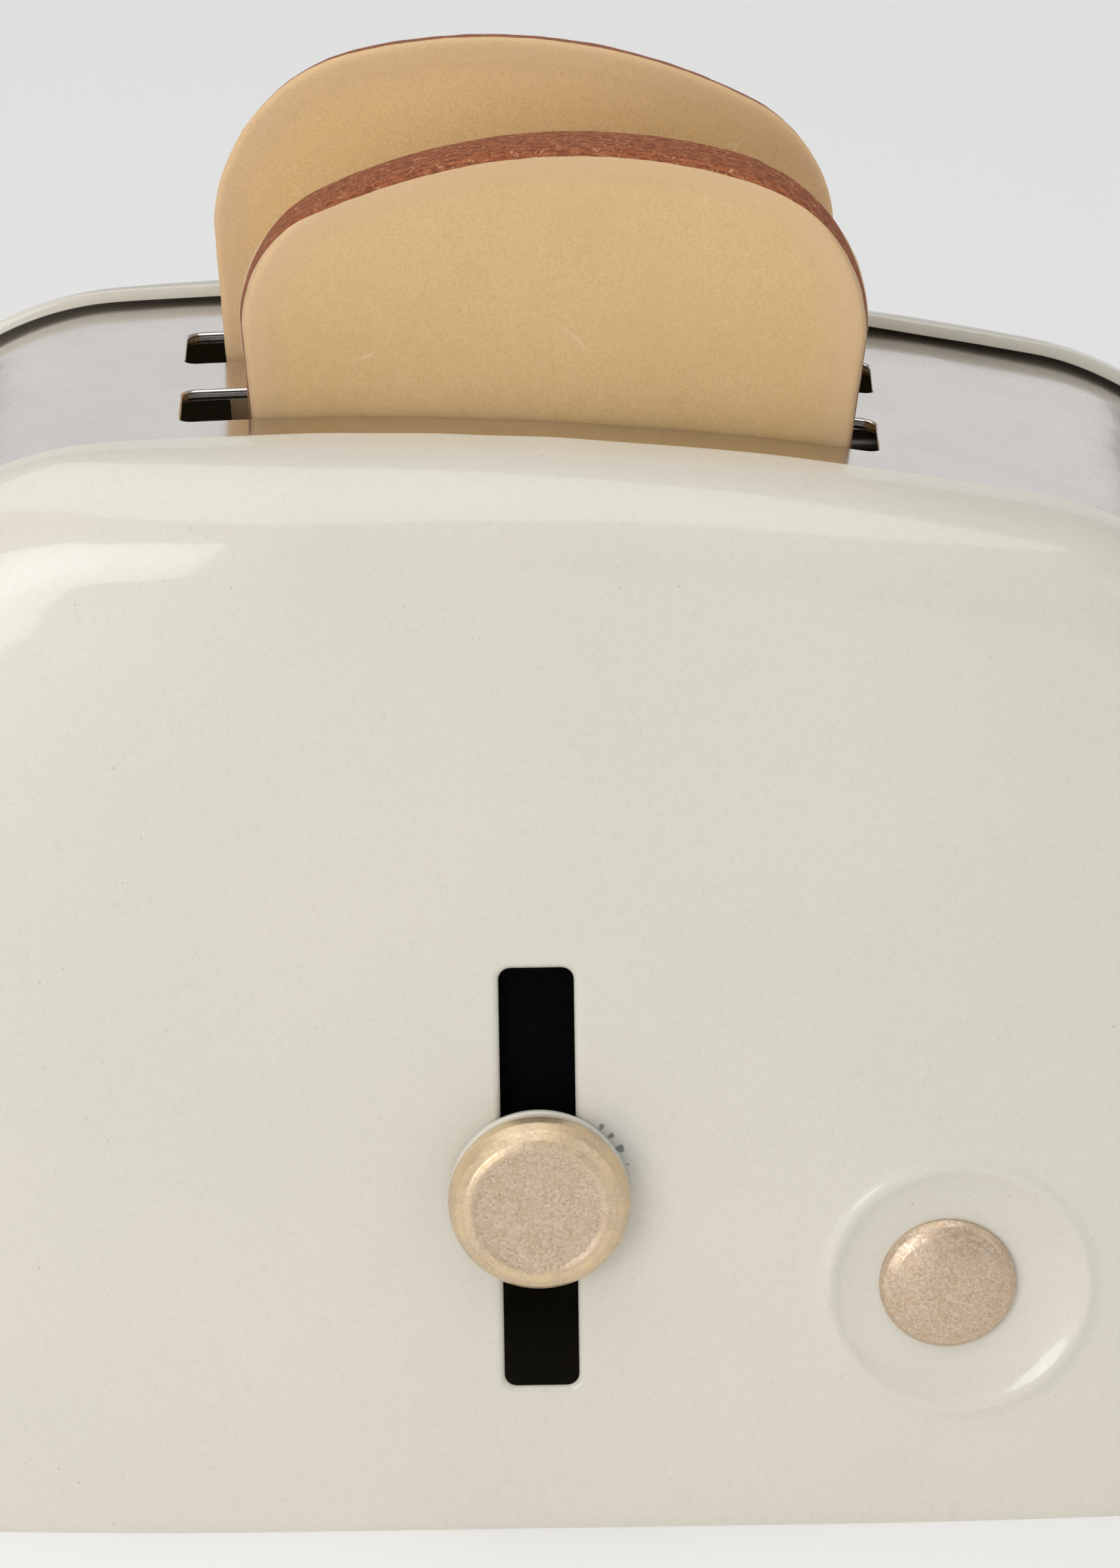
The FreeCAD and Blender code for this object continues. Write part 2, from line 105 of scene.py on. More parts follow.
def casing_run(step):
    """Points up the left side, over the arch and down the right side, each with its outward direction."""
    left_x, left_z = corner_centre(-1)
    right_x, right_z = corner_centre(1)
    left_turn = math.atan2(left_z - arch_z, left_x - crown_x)
    right_turn = math.atan2(right_z - arch_z, right_x - crown_x)
    run = []

    def side_line(x, z0, z1, out):
        count = max(2, round(abs(z1 - z0) / step))
        for i in range(count):
            run.append((x, z0 + (z1 - z0) * i / count, out, 0.0))

    def arc(cx, cz, radius, a0, a1, arc_step):
        count = max(2, round(abs(a1 - a0) * radius / arc_step))
        for i in range(count):
            a = a0 + (a1 - a0) * i / count
            run.append((cx + radius * math.cos(a), cz + radius * math.sin(a), math.cos(a), math.sin(a)))

    side_line(-half_width, 0.0, left_z, -1.0)
    arc(left_x, left_z, corner_radius, math.pi, left_turn, step * 0.8)
    arc(crown_x, arch_z, arch_radius, left_turn, right_turn, step)
    arc(right_x, right_z, corner_radius, right_turn, 0.0, step * 0.8)
    side_line(half_width, right_z, 0.0, 1.0)
    run.append((half_width, 0.0, 1.0, 0.0))
    return run


def pan_profile():
    """Steps from the pan's mouth over its shoulder to the face: how far in, how far back."""
    turn = math.pi / 2 - flange_angle
    end_back = shoulder_radius * (1 - math.cos(turn))
    centre_in = shoulder_radius * math.sin(turn) + (pan_depth - end_back) * math.tan(flange_angle)
    steps = []
    for i in range(4):
        back = pan_depth + (end_back - pan_depth) * i / 4
        steps.append(((pan_depth - back) * math.tan(flange_angle), back))
    for i in range(19):
        a = turn * (1 - i / 18)
        steps.append((centre_in - shoulder_radius * math.sin(a), shoulder_radius * (1 - math.cos(a))))
    while steps[-1][0] < ring_reach:
        steps.append((steps[-1][0] + 0.5, 0.0))
    return steps


def rounded_rectangle(x0, x1, y0, y1, radius, step):
    points = []
    corners = ((x1 - radius, y1 - radius, 0.0), (x0 + radius, y1 - radius, 90.0),
               (x0 + radius, y0 + radius, 180.0), (x1 - radius, y0 + radius, 270.0))
    for i, (cx, cy, start) in enumerate(corners):
        for k in range(7):
            a = math.radians(start + 15 * k)
            points.append((cx + radius * math.cos(a), cy + radius * math.sin(a)))
        nx, ny, turn = corners[(i + 1) % 4]
        a = math.radians(turn)
        goal = (nx + radius * math.cos(a), ny + radius * math.sin(a))
        start_point = points[-1]
        count = max(1, round(math.dist(start_point, goal) / step))
        for k in range(1, count):
            points.append((start_point[0] + (goal[0] - start_point[0]) * k / count,
                           start_point[1] + (goal[1] - start_point[1]) * k / count))
    return points


def rectangle_gap(x, y, x0, x1, y0, y1, radius):
    """Distance from a point out to a rounded rectangle, negative inside it."""
    qx = abs(x - (x0 + x1) / 2) - (x1 - x0) / 2 + radius
    qy = abs(y - (y0 + y1) / 2) - (y1 - y0) / 2 + radius
    return math.hypot(max(qx, 0.0), max(qy, 0.0)) + min(max(qx, qy), 0.0) - radius


def fill_flat(boundary, holes, loose, keep):
    """Triangles over a flat outline with holes, through all the loose points."""
    points = [Vector(p) for p in boundary]
    edges = [(i, (i + 1) % len(boundary)) for i in range(len(boundary))]
    for hole in holes:
        first = len(points)
        points += [Vector(p) for p in hole]
        edges += [(first + i, first + (i + 1) % len(hole)) for i in range(len(hole))]
    points += [Vector(p) for p in loose]
    flat, _, faces, _, _, _ = delaunay_2d_cdt(points, edges, [], 0, 1e-5)
    kept = []
    for face in faces:
        cx = sum(flat[i].x for i in face) / len(face)
        cy = sum(flat[i].y for i in face) / len(face)
        if keep(cx, cy):
            kept.append(face)
    return flat, kept


def roll_drop(gap, radius):
    """How far a rounded edge falls back at a distance from where it ends."""
    if gap >= radius:
        return 0.0
    reach = (radius - max(gap, 0.0)) * 0.93
    return radius - math.sqrt(radius ** 2 - reach ** 2)


def lever_gap(x, z):
    return rectangle_gap(x, z, lever_x - lever_slot_half, lever_x + lever_slot_half,
                         lever_slot_bottom, lever_slot_top, lever_slot_corner)


def face_fall(x, z, with_works):
    """How far the pan's face lies behind its front plane: pillow, dents, slot roll and dish."""
    to_arch = arch_radius - math.hypot(x - crown_x, z - arch_z)
    side = max(0.0, 1 - (half_width - abs(x)) / side_pillow)
    above = max(0.0, 1 - to_arch / top_pillow)
    left = max(0.0, corner_pillow_x - x) / corner_pillow_width
    left_top = left * max(0.0, z - corner_pillow_z) / corner_pillow_height
    fall = side_pillow_fall * side ** 2 + top_pillow_fall * above ** 2.2
    fall += corner_pillow_fall * left_top ** 1.5
    sway = noise.noise(Vector((x * 0.09, z * 0.09, 4.2)))
    dents = noise.noise(Vector((x * 0.33, z * 0.33, 11.7)))
    ripple = noise.noise(Vector((x * 0.75, z * 0.75, 7.9)))
    upper_left = math.exp(-((x + 17.0) / 6.0) ** 2 - ((z - 38.0) / 5.0) ** 2)
    fall += face_unevenness * (1 + sway) + 0.012 * dents + 0.018 * ripple * upper_left
    if with_works:
        fall += roll_drop(lever_gap(x, z), lever_slot_roll)
        r = math.hypot(x - dish_x, z - dish_z)
        bowl = dish_depth * (1 - (r / dish_radius) ** 3)
        fall += 0.5 * (bowl + math.sqrt(bowl ** 2 + dish_edge ** 2))
        fall -= dish_lip * math.exp(-((r - dish_radius - dish_lip_out) / dish_lip_width) ** 2)
    return fall


def press_pan(name, side, with_works):
    """A pan that faces front for side -1 and back for side 1."""
    run = casing_run(mesh_step)
    steps = pan_profile()
    shape = bmesh.new()

    def place(x, z, back):
        fall = face_fall(x, z, with_works)
        depth = pan_depth - (pan_depth - back) * (1 - fall / pan_depth)
        mouth_near = max(0.0, 1 - (pan_depth - back) / 1.2)
        waver = mouth_near * 0.05 * noise.noise(Vector((x * 0.28, z * 0.28, 20.0 + side)))
        return shape.verts.new(Vector((x, side * (-face_y - depth), max(0.0, z + waver))) * MM)

    rings = []
    for inset, back in steps:
        rings.append([place(x - inset * nx, z - inset * nz, back) for x, z, nx, nz in run])
    for near, far in zip(rings, rings[1:]):
        for i in range(len(run) - 1):
            shape.faces.new((near[i], near[i + 1], far[i + 1], far[i]))

    inner = steps[-1][0]
    boundary = [(x - inner * nx, z - inner * nz) for x, z, nx, nz in run]
    reach = half_width - inner
    count = round(2 * reach / mesh_step)
    boundary += [(reach - 2 * reach * i / count, 0.0) for i in range(1, count)]
    holes = []
    loose = []
    if with_works:
        for gap in (0.0, 0.02, 0.05, 0.09, 0.14, 0.2, 0.26, 0.33, 0.48):
            ring = rounded_rectangle(lever_x - lever_slot_half - gap, lever_x + lever_slot_half + gap,
                                     lever_slot_bottom - gap, lever_slot_top + gap,
                                     lever_slot_corner + gap, 0.28)
            if gap == 0.0:
                holes.append(ring)
            else:
                loose += ring
        radii = [0.35 * k for k in range(1, 13)]
        radii += [dish_radius - d for d in (0.4, 0.25, 0.14, 0.07, 0.03)]
        radii += [dish_radius + d for d in (0.0, 0.04, 0.1, 0.2, 0.3, 0.42, 0.56, 0.72, 0.9)]
        for r in radii:
            around = max(12, round(2 * math.pi * r / 0.3))
            loose += [(dish_x + r * math.cos(2 * math.pi * i / around),
                       dish_z + r * math.sin(2 * math.pi * i / around)) for i in range(around)]

    def inside(x, z, margin):
        if abs(x) > reach - margin or z < margin:
            return False
        if arch_radius - math.hypot(x - crown_x, z - arch_z) < inner + margin:
            return False
        for turn in (-1, 1):
            cx, cz = corner_centre(turn)
            outside = math.hypot(x - cx, z - cz) > corner_radius - inner - margin
            if (x - cx) * turn > 0 and z > cz and outside:
                return False
        return True

    def keep(x, z):
        return inside(x, z, 0.0) and not (with_works and lever_gap(x, z) < 0)

    for i in range(-60, 61):
        for k in range(0, 90):
            x = i * 0.5
            z = k * 0.5
            if not inside(x, z, 0.3):
                continue
            in_dish = math.hypot(x - dish_x, z - dish_z) < dish_radius + 1.0
            if with_works and (lever_gap(x, z) < 0.7 or in_dish):
                continue
            loose.append((x, z))
    flat, faces = fill_flat(boundary, holes, loose, keep)
    verts = [place(p.x, p.y, 0.0) for p in flat]
    for face in faces:
        shape.faces.new([verts[i] for i in face])
    bmesh.ops.remove_doubles(shape, verts=shape.verts, dist=weld_gap * MM)
    bmesh.ops.delete(shape, geom=[v for v in shape.verts if not v.link_faces], context="VERTS")
    return sheet_piece(name, shape, Vector((0, side, 0)))


def set_out(name, data):
    """A new object in the scene that holds this mesh, curve, lamp or lens."""
    thing = bpy.data.objects.new(name, data)
    bpy.context.scene.collection.objects.link(thing)
    return thing


def smooth_piece(name, shape):
    """The shape as a smooth-shaded piece."""
    for face in shape.faces:
        face.smooth = True
    mesh = bpy.data.meshes.new(name)
    shape.to_mesh(mesh)
    shape.free()
    return set_out(name, mesh)


def sheet_piece(name, shape, outward):
    """Gives a surface the sheet's thickness on its inner side and breaks its sharp edges."""
    bmesh.ops.recalc_face_normals(shape, faces=shape.faces)
    lean = sum((face.normal * face.calc_area() for face in shape.faces), Vector())
    if lean.dot(outward) < 0:
        bmesh.ops.reverse_faces(shape, faces=shape.faces)
    piece = smooth_piece(name, shape)
    wall = piece.modifiers.new("wall", "SOLIDIFY")
    wall.thickness = sheet * MM
    wall.offset = -1.0
    rim = piece.modifiers.new("rim", "BEVEL")
    rim.width = edge_break * MM
    rim.segments = 2
    rim.limit_method = "ANGLE"
    rim.angle_limit = math.radians(50)
    return finished(piece)


def finished(piece):
    """The piece as a plain mesh, with its modifiers worked in."""
    bpy.context.view_layer.update()
    plain = bpy.data.meshes.new_from_object(piece.evaluated_get(bpy.context.evaluated_depsgraph_get()))
    piece.modifiers.clear()
    piece.data = plain
    return piece


def fresh_material(name):
    material = bpy.data.materials.new(name)
    material.use_nodes = True
    tree = material.node_tree
    return material, tree, tree.nodes["Principled BSDF"]


def in_millimetres(tree, stretch=(1, 1, 1)):
    """Object coordinates in millimetres."""
    place = tree.nodes.new("ShaderNodeTexCoord")
    scale = tree.nodes.new("ShaderNodeMapping")
    scale.inputs["Scale"].default_value = [s / MM for s in stretch]
    tree.links.new(place.outputs["Object"], scale.inputs["Vector"])
    return scale.outputs["Vector"]


def clouds(tree, where, scale, detail=3.0, rough=0.5):
    node = tree.nodes.new("ShaderNodeTexNoise")
    node.inputs["Scale"].default_value = scale
    node.inputs["Detail"].default_value = detail
    node.inputs["Roughness"].default_value = rough
    tree.links.new(where, node.inputs["Vector"])
    return node.outputs["Fac"]


def spread(tree, value, low, high, out_low=0.0, out_high=1.0):
    node = tree.nodes.new("ShaderNodeMapRange")
    for key, number in (("From Min", low), ("From Max", high), ("To Min", out_low), ("To Max", out_high)):
        node.inputs[key].default_value = number
    tree.links.new(value, node.inputs["Value"])
    return node.outputs["Result"]


def math_node(tree, kind, first, second):
    node = tree.nodes.new("ShaderNodeMath")
    node.operation = kind
    for i, value in enumerate((first, second)):
        if isinstance(value, (int, float)):
            node.inputs[i].default_value = value
        else:
            tree.links.new(value, node.inputs[i])
    return node.outputs[0]


def times(tree, first, second):
    return math_node(tree, "MULTIPLY", first, second)


def plus(tree, first, second):
    return math_node(tree, "ADD", first, second)


def tint(tree, amount, first, second):
    """Colour that goes from the first to the second as the amount goes from 0 to 1."""
    node = tree.nodes.new("ShaderNodeMix")
    node.data_type = "RGBA"
    for key, value in ((6, first), (7, second)):
        if isinstance(value, tuple):
            node.inputs[key].default_value = (*value, 1.0)
        else:
            tree.links.new(value, node.inputs[key])
    tree.links.new(amount, node.inputs[0])
    return node.outputs[2]


def cells(tree, where, scale):
    """Scattered cells: the distance from each one's middle, and three random values for each."""
    pattern = tree.nodes.new("ShaderNodeTexVoronoi")
    pattern.inputs["Scale"].default_value = scale
    tree.links.new(where, pattern.inputs["Vector"])
    chance = tree.nodes.new("ShaderNodeSeparateColor")
    tree.links.new(pattern.outputs["Color"], chance.inputs[0])
    return pattern.outputs["Distance"], chance.outputs


def specks(tree, where, scale, size, share):
    """Small dots in a random share of cells: 1 inside a dot, 0 outside."""
    distance, chance = cells(tree, where, scale)
    chosen = math_node(tree, "LESS_THAN", chance[0], share)
    reach = times(tree, chance[1], size)
    dot = spread(tree, math_node(tree, "SUBTRACT", distance, reach), 0.0, -0.06)
    return times(tree, dot, chosen)


def painted(tree, attribute):
    """A value that is stored on the piece's own mesh."""
    node = tree.nodes.new("ShaderNodeAttribute")
    node.attribute_name = attribute
    return node.outputs["Fac"]


def relief(tree, shader, *layers):
    """Bump from (height, depth in millimetres) layers."""
    normal = None
    for height, depth in layers:
        node = tree.nodes.new("ShaderNodeBump")
        node.inputs["Distance"].default_value = depth * MM
        tree.links.new(height, node.inputs["Height"])
        if normal is not None:
            tree.links.new(normal, node.inputs["Normal"])
        normal = node.outputs["Normal"]
    tree.links.new(normal, shader.inputs["Normal"])


# Chips beside the knob, each ringed with a soft bluish-grey painted shade: how far across and up each one
# lies, and how far it reaches.
chip_and_shade_face = -15.0
chips_with_painted_shade = ((1.45, 17.45, 0.30), (1.85, 17.05, 0.34), (2.2, 16.5, 0.36), (2.5, 15.8, 0.27))


def enamel():
    """Glossy cream enamel with grain, pores and dust, and a few chips beside the knob ringed with painted
    bluish shade.
    """
    material, tree, shader = fresh_material("cream_enamel")
    where = in_millimetres(tree)
    drift = spread(tree, clouds(tree, where, 0.07, 2.0), 0.35, 0.65)
    base = tint(tree, drift, (0.645, 0.612, 0.530), (0.673, 0.636, 0.548))
    grain = spread(tree, clouds(tree, where, 7.0, 3.0, 0.7), 0.3, 0.75)
    base = tint(tree, times(tree, grain, 0.5), base, (0.738, 0.704, 0.620))
    pores = spread(tree, clouds(tree, where, 3.6, 3.0, 0.7), 0.56, 0.70)
    base = tint(tree, times(tree, pores, 0.4), base, (0.590, 0.556, 0.478))
    dust = times(tree, specks(tree, where, 1.3, 0.10, 0.5), 0.6)
    base = tint(tree, dust, base, (0.34, 0.31, 0.27))
    fine = times(tree, specks(tree, where, 3.2, 0.16, 0.35), 0.2)
    base = tint(tree, fine, base, (0.44, 0.41, 0.36))
    warm = times(tree, specks(tree, where, 0.45, 0.04, 0.4), 0.45)
    base = tint(tree, warm, base, (0.62, 0.45, 0.26))
    ragged = times(tree, clouds(tree, where, 2.5, 4.0, 0.7), 0.34)
    for x, z, reach in chips_with_painted_shade:
        away = tree.nodes.new("ShaderNodeVectorMath")
        away.operation = "DISTANCE"
        away.inputs[1].default_value = (x, chip_and_shade_face, z)
        tree.links.new(where, away.inputs[0])
        off = plus(tree, away.outputs["Value"], ragged)
        # Painted shade: a soft bluish-grey ring round each chip. The dark core on the next line is the chip
        # itself.
        base = tint(tree, spread(tree, off, reach * 5, reach, 0.0, 0.12), base, (0.30, 0.36, 0.40))
        base = tint(tree, spread(tree, off, reach, reach - 0.04, 0.0, 0.85), base, (0.10, 0.12, 0.13))
    tree.links.new(base, shader.inputs["Base Color"])
    tree.links.new(spread(tree, grain, 0.0, 1.0, 0.33, 0.42), shader.inputs["Roughness"])
    shader.inputs["Coat Weight"].default_value = 0.8
    shader.inputs["Coat Roughness"].default_value = 0.06
    shader.inputs["Coat IOR"].default_value = 1.5
    relief(tree, shader, (clouds(tree, where, 0.5, 2.0), 0.014), (clouds(tree, where, 2.4, 3.0), 0.0022))
    return material


def clear_rubbed_side(piece):
    """Flattens the pan's inner side where the friction disc slides along it."""
    rub_low, rub_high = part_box("friction_disc")
    rub_clearance = 0.015 * MM
    rub_plane = rub_low.y - rub_clearance
    rub_reach = 0.6 * MM
    rub_margin = 0.8 * MM
    lever_fall = 6.7 * MM
    lever_rise = 7.6 * MM
    under = rub_low.z - lever_fall - rub_margin
    over = rub_high.z + lever_rise + rub_margin
    for vertex in piece.data.vertices:
        beside = rub_low.x - rub_margin < vertex.co.x < rub_high.x + rub_margin
        inner = rub_plane < vertex.co.y < rub_plane + rub_reach
        if beside and under < vertex.co.z < over and inner:
            vertex.co.y = rub_plane


cream_enamel = enamel()
front_pan = press_pan("front_pan", -1, True)
clear_rubbed_side(front_pan)
front_pan.data.materials.append(cream_enamel)
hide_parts("front_shell")
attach(front_pan, "housing")

# Back pan. A pressing of the same outline that faces the other way, without the slot and the dish;
# only its rim and flange show behind the band from the front.
back_pan = press_pan("back_pan", 1, False)
back_pan.data.materials.append(cream_enamel)
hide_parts("back_shell")
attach(back_pan, "housing")

# Arched band. A strip of sheet bent over the whole casing, painted a metallic taupe. It lies a
# little below the two rims and has the two punched bread slots.
band_low, band_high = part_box("top_band")
band_drop = 0.7
band_half = band_high.y / MM
band_floor = band_low.z / MM
slot_width = 3.95
slot_web = 3.6
slot_left = -14.9
slot_right = 12.9
slot_corner = 0.5
slot_roll = 0.16


def band_slots():
    for side in (-1, 1):
        middle = side * (slot_web + slot_width) / 2
        yield slot_left, slot_right, middle - slot_width / 2, middle + slot_width / 2


def band_arch_height(x):
    return arch_z + math.sqrt((arch_radius - band_drop) ** 2 - (x - crown_x) ** 2)


def bend_band():
    shape = bmesh.new()
    ends = []
    for turn in (-1, 1):
        cx, _ = corner_centre(turn)
        ends.append(cx + (cx - crown_x) / corner_reach * (corner_radius - band_drop))
    left_end, right_end = ends
    rows = [band_half * (2 * i / 44 - 1) for i in range(45)]

    def gap_to_slots(x, y):
        return min(rectangle_gap(x, y, *slot, slot_corner) for slot in band_slots())

    def put(x, y, z, nx, nz):
        wave = 0.02 * noise.noise(Vector((x * 0.2, y * 0.25, z * 0.2)))
        wave += 0.004 * noise.noise(Vector((x * 0.9, y * 0.9, z * 0.9 + 5)))
        drop = roll_drop(gap_to_slots(x, y), slot_roll) if z > crown_top - 4 else 0.0
        drop += 0.02 - wave
        return shape.verts.new(Vector((x - nx * drop, y, z - nz * drop)) * MM)

    run = [(x - band_drop * nx, z - band_drop * nz, nx, nz) for x, z, nx, nz in casing_run(0.6)]
    run = [(x, max(z, band_floor), nx, nz) for x, z, nx, nz in run if z > band_floor - 0.7]
    left_part = [p for p in run if p[0] < left_end - 0.05 or (p[0] < 0 and p[3] < 0.5)]
    right_part = [p for p in run if p[0] > right_end + 0.05 or (p[0] > 0 and p[3] < 0.5)]

    def arch_point(x):
        radius = arch_radius - band_drop
        return x, band_arch_height(x), (x - crown_x) / radius, (band_arch_height(x) - arch_z) / radius

    left_part.append(arch_point(left_end))
    right_part.insert(0, arch_point(right_end))
    for part in (left_part, right_part):
        grid = [[put(x, y, z, nx, nz) for y in rows] for x, z, nx, nz in part]
        for near, far in zip(grid, grid[1:]):
            for i in range(len(rows) - 1):
                shape.faces.new((near[i], near[i + 1], far[i + 1], far[i]))

    count = round((right_end - left_end) / mesh_step)
    across = [left_end + (right_end - left_end) * i / count for i in range(count + 1)]
    boundary = [(x, -band_half) for x in across]
    boundary += [(right_end, y) for y in rows[1:-1]]
    boundary += [(x, band_half) for x in reversed(across)]
    boundary += [(left_end, y) for y in reversed(rows[1:-1])]
    holes = []
    loose = []
    for x0, x1, y0, y1 in band_slots():
        for gap in (0.0, 0.015, 0.04, 0.075, 0.12, 0.17, 0.3):
            ring = rounded_rectangle(x0 - gap, x1 + gap, y0 - gap, y1 + gap, slot_corner + gap, 0.3)
            if gap == 0.0:
                holes.append(ring)
            else:
                loose += ring
    for x in across[1:-1]:
        for y in rows[1:-1]:
            if gap_to_slots(x, y) > 0.5:
                loose.append((x, y))
    flat, faces = fill_flat(boundary, holes, loose, lambda x, y: gap_to_slots(x, y) > 0)
    verts = []
    for p in flat:
        x, z, nx, nz = arch_point(p.x)
        verts.append(put(x, p.y, z, nx, nz))
    for face in faces:
        shape.faces.new([verts[i] for i in face])
    bmesh.ops.remove_doubles(shape, verts=shape.verts, dist=weld_gap * MM)
    bmesh.ops.delete(shape, geom=[v for v in shape.verts if not v.link_faces], context="VERTS")
    return sheet_piece("arched_band", shape, Vector((0, 0, 1)))


def taupe():
    material, tree, shader = fresh_material("taupe_paint")
    where = in_millimetres(tree)
    _, flakes = cells(tree, where, 13.0)
    drift = spread(tree, clouds(tree, where, 0.35, 3.0), 0.35, 0.65)
    base = tint(tree, drift, (0.54, 0.51, 0.487), (0.585, 0.558, 0.535))
    base = tint(tree, spread(tree, flakes[0], 0.2, 1.0, 0.0, 0.4), base, (0.66, 0.62, 0.58))
    tree.links.new(base, shader.inputs["Base Color"])
    shader.inputs["Metallic"].default_value = 1.0
    rough = spread(tree, flakes[1], 0.0, 1.0, 0.10, 0.22)
    tree.links.new(rough, shader.inputs["Roughness"])
    shader.inputs["Coat Weight"].default_value = 0.5
    shader.inputs["Coat Roughness"].default_value = 0.06
    relief(tree, shader, (clouds(tree, where, 0.8, 2.0), 0.004),
           (clouds(tree, where, 4.0, 3.0, 0.7), 0.004))
    return material


taupe_paint = taupe()
arched_band = bend_band()
arched_band.data.materials.append(taupe_paint)
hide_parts("top_band")
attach(arched_band, "housing")

# Knob, disc and stud. All three are turned from metal: a profile drawn from the axis outwards is
# rounded at its corners and swept round. Knob and stud are sprayed champagne, the disc enamelled.
turning = bpy.data.node_groups.new("turning", "GeometryNodeTree")


def named_input(tree, name, kind, value=None):
    socket = tree.interface.new_socket(name, in_out="INPUT", socket_type=kind)
    if value is not None:
        socket.default_value = value
    return socket.identifier


def tree_ends(tree):
    tree.interface.new_socket("Geometry", in_out="INPUT", socket_type="NodeSocketGeometry")
    tree.interface.new_socket("Geometry", in_out="OUTPUT", socket_type="NodeSocketGeometry")


def close_tree(tree, geometry, inputs):
    """Makes the instances real and gives them their material."""
    real = tree.nodes.new("GeometryNodeRealizeInstances")
    finish = tree.nodes.new("GeometryNodeSetMaterial")
    out = tree.nodes.new("NodeGroupOutput")
    tree.links.new(geometry, real.inputs[0])
    tree.links.new(real.outputs[0], finish.inputs["Geometry"])
    tree.links.new(inputs.outputs["Material"], finish.inputs["Material"])
    tree.links.new(finish.outputs[0], out.inputs[0])


tree_ends(turning)
turning_rounding = named_input(turning, "Rounding", "NodeSocketFloat", 0.1 * MM)
turning_steps = named_input(turning, "Rounding steps", "NodeSocketInt", 5)
turning_facets = named_input(turning, "Facets", "NodeSocketInt", 96)
turning_material = named_input(turning, "Material", "NodeSocketMaterial")


def draw_turning(tree):
    given = tree.nodes.new("NodeGroupInput")
    rounded = tree.nodes.new("GeometryNodeFilletCurve")
    circle = tree.nodes.new("GeometryNodeCurvePrimitiveCircle")
    sweep = tree.nodes.new("GeometryNodeCurveToMesh")
    weld = tree.nodes.new("GeometryNodeMergeByDistance")
    smooth = tree.nodes.new("GeometryNodeSetShadeSmooth")
    rounded.inputs["Limit Radius"].default_value = True
    rounded.mode = "POLY"
    circle.inputs["Radius"].default_value = 1e-7
    weld.inputs["Distance"].default_value = 0.002 * MM
    tree.links.new(given.outputs["Geometry"], rounded.inputs["Curve"])
    tree.links.new(given.outputs["Rounding"], rounded.inputs["Radius"])
    tree.links.new(given.outputs["Rounding steps"], rounded.inputs["Count"])
    tree.links.new(given.outputs["Facets"], circle.inputs["Resolution"])
    tree.links.new(circle.outputs["Curve"], sweep.inputs["Curve"])
    tree.links.new(rounded.outputs["Curve"], sweep.inputs["Profile Curve"])
    tree.links.new(sweep.outputs["Mesh"], weld.inputs["Geometry"])
    tree.links.new(weld.outputs["Geometry"], smooth.inputs["Geometry"])
    close_tree(tree, smooth.outputs["Geometry"], given)


draw_turning(turning)


def line_curve(name, points, closed=False):
    """A curve object through points in millimetres."""
    curve = bpy.data.curves.new(name, "CURVE")
    curve.dimensions = "3D"
    spline = curve.splines.new("POLY")
    spline.points.add(len(points) - 1)
    for point, p in zip(spline.points, points):
        point.co = (*(c * MM for c in p), 1.0)
    spline.use_cyclic_u = closed
    return set_out(name, curve)


def with_nodes(thing, tree, values):
    """Runs a node tree on an object and returns what comes out as a plain mesh object."""
    modifier = thing.modifiers.new("made", "NODES")
    modifier.node_group = tree
    for identifier, value in values.items():
        modifier[identifier] = value
    bpy.context.view_layer.update()
    graph = bpy.context.evaluated_depsgraph_get()
    mesh = bpy.data.meshes.new_from_object(thing.evaluated_get(graph), preserve_all_data_layers=True,
                                           depsgraph=graph)
    name = thing.name
    bpy.data.objects.remove(thing)
    return set_out(name, mesh)


def turn_outwards(shape):
    """Turns the faces of a closed shape outwards."""
    bmesh.ops.recalc_face_normals(shape, faces=shape.faces)
    if shape.calc_volume(signed=True) < 0:
        bmesh.ops.reverse_faces(shape, faces=shape.faces)


def face_outwards(piece):
    shape = bmesh.new()
    shape.from_mesh(piece.data)
    turn_outwards(shape)
    shape.to_mesh(piece.data)
    shape.free()


def turned(name, profile, rounding, material, facets=128, steps=6):
    """Turned piece from (radius, height) points, its axis along Z through the origin."""
    line = line_curve(name, [(r, -h, 0.0) for r, h in profile], closed=profile[0][0] > 0)
    piece = with_nodes(line, turning, {turning_rounding: rounding * MM, turning_steps: steps,
                                       turning_facets: facets, turning_material: material})
    face_outwards(piece)
    return piece


def lay(piece, x, y, z, turn):
    """Puts a piece in its place, in its mesh, after a turn."""
    piece.data.transform(turn)
    piece.data.transform(Matrix.Translation(Vector((x, y, z)) * MM))


def champagne():
    material, tree, shader = fresh_material("champagne_paint")
    where = in_millimetres(tree)
    _, flakes = cells(tree, where, 11.0)
    cloud = spread(tree, clouds(tree, where, 1.1, 3.0), 0.3, 0.7)
    base = tint(tree, cloud, (0.57, 0.415, 0.275), (0.62, 0.475, 0.345))
    base = tint(tree, spread(tree, flakes[0], 0.35, 1.0, 0.0, 0.6), base, (0.74, 0.64, 0.53))
    base = tint(tree, spread(tree, flakes[1], 0.55, 1.0, 0.0, 0.45), base, (0.36, 0.235, 0.14))
    patches = spread(tree, clouds(tree, where, 0.9), 0.25, 0.7)
    gold = times(tree, painted(tree, "thin_paint"), patches)
    base = tint(tree, gold, base, (0.78, 0.60, 0.36))
    tree.links.new(base, shader.inputs["Base Color"])
    shader.inputs["Metallic"].default_value = 0.65
    tree.links.new(spread(tree, flakes[2], 0.0, 1.0, 0.28, 0.5), shader.inputs["Roughness"])
    shader.inputs["Coat Weight"].default_value = 0.25
    shader.inputs["Coat Roughness"].default_value = 0.18
    relief(tree, shader, (clouds(tree, where, 1.4, 2.0), 0.008), (flakes[0], 0.006))
    return material


champagne_paint = champagne()


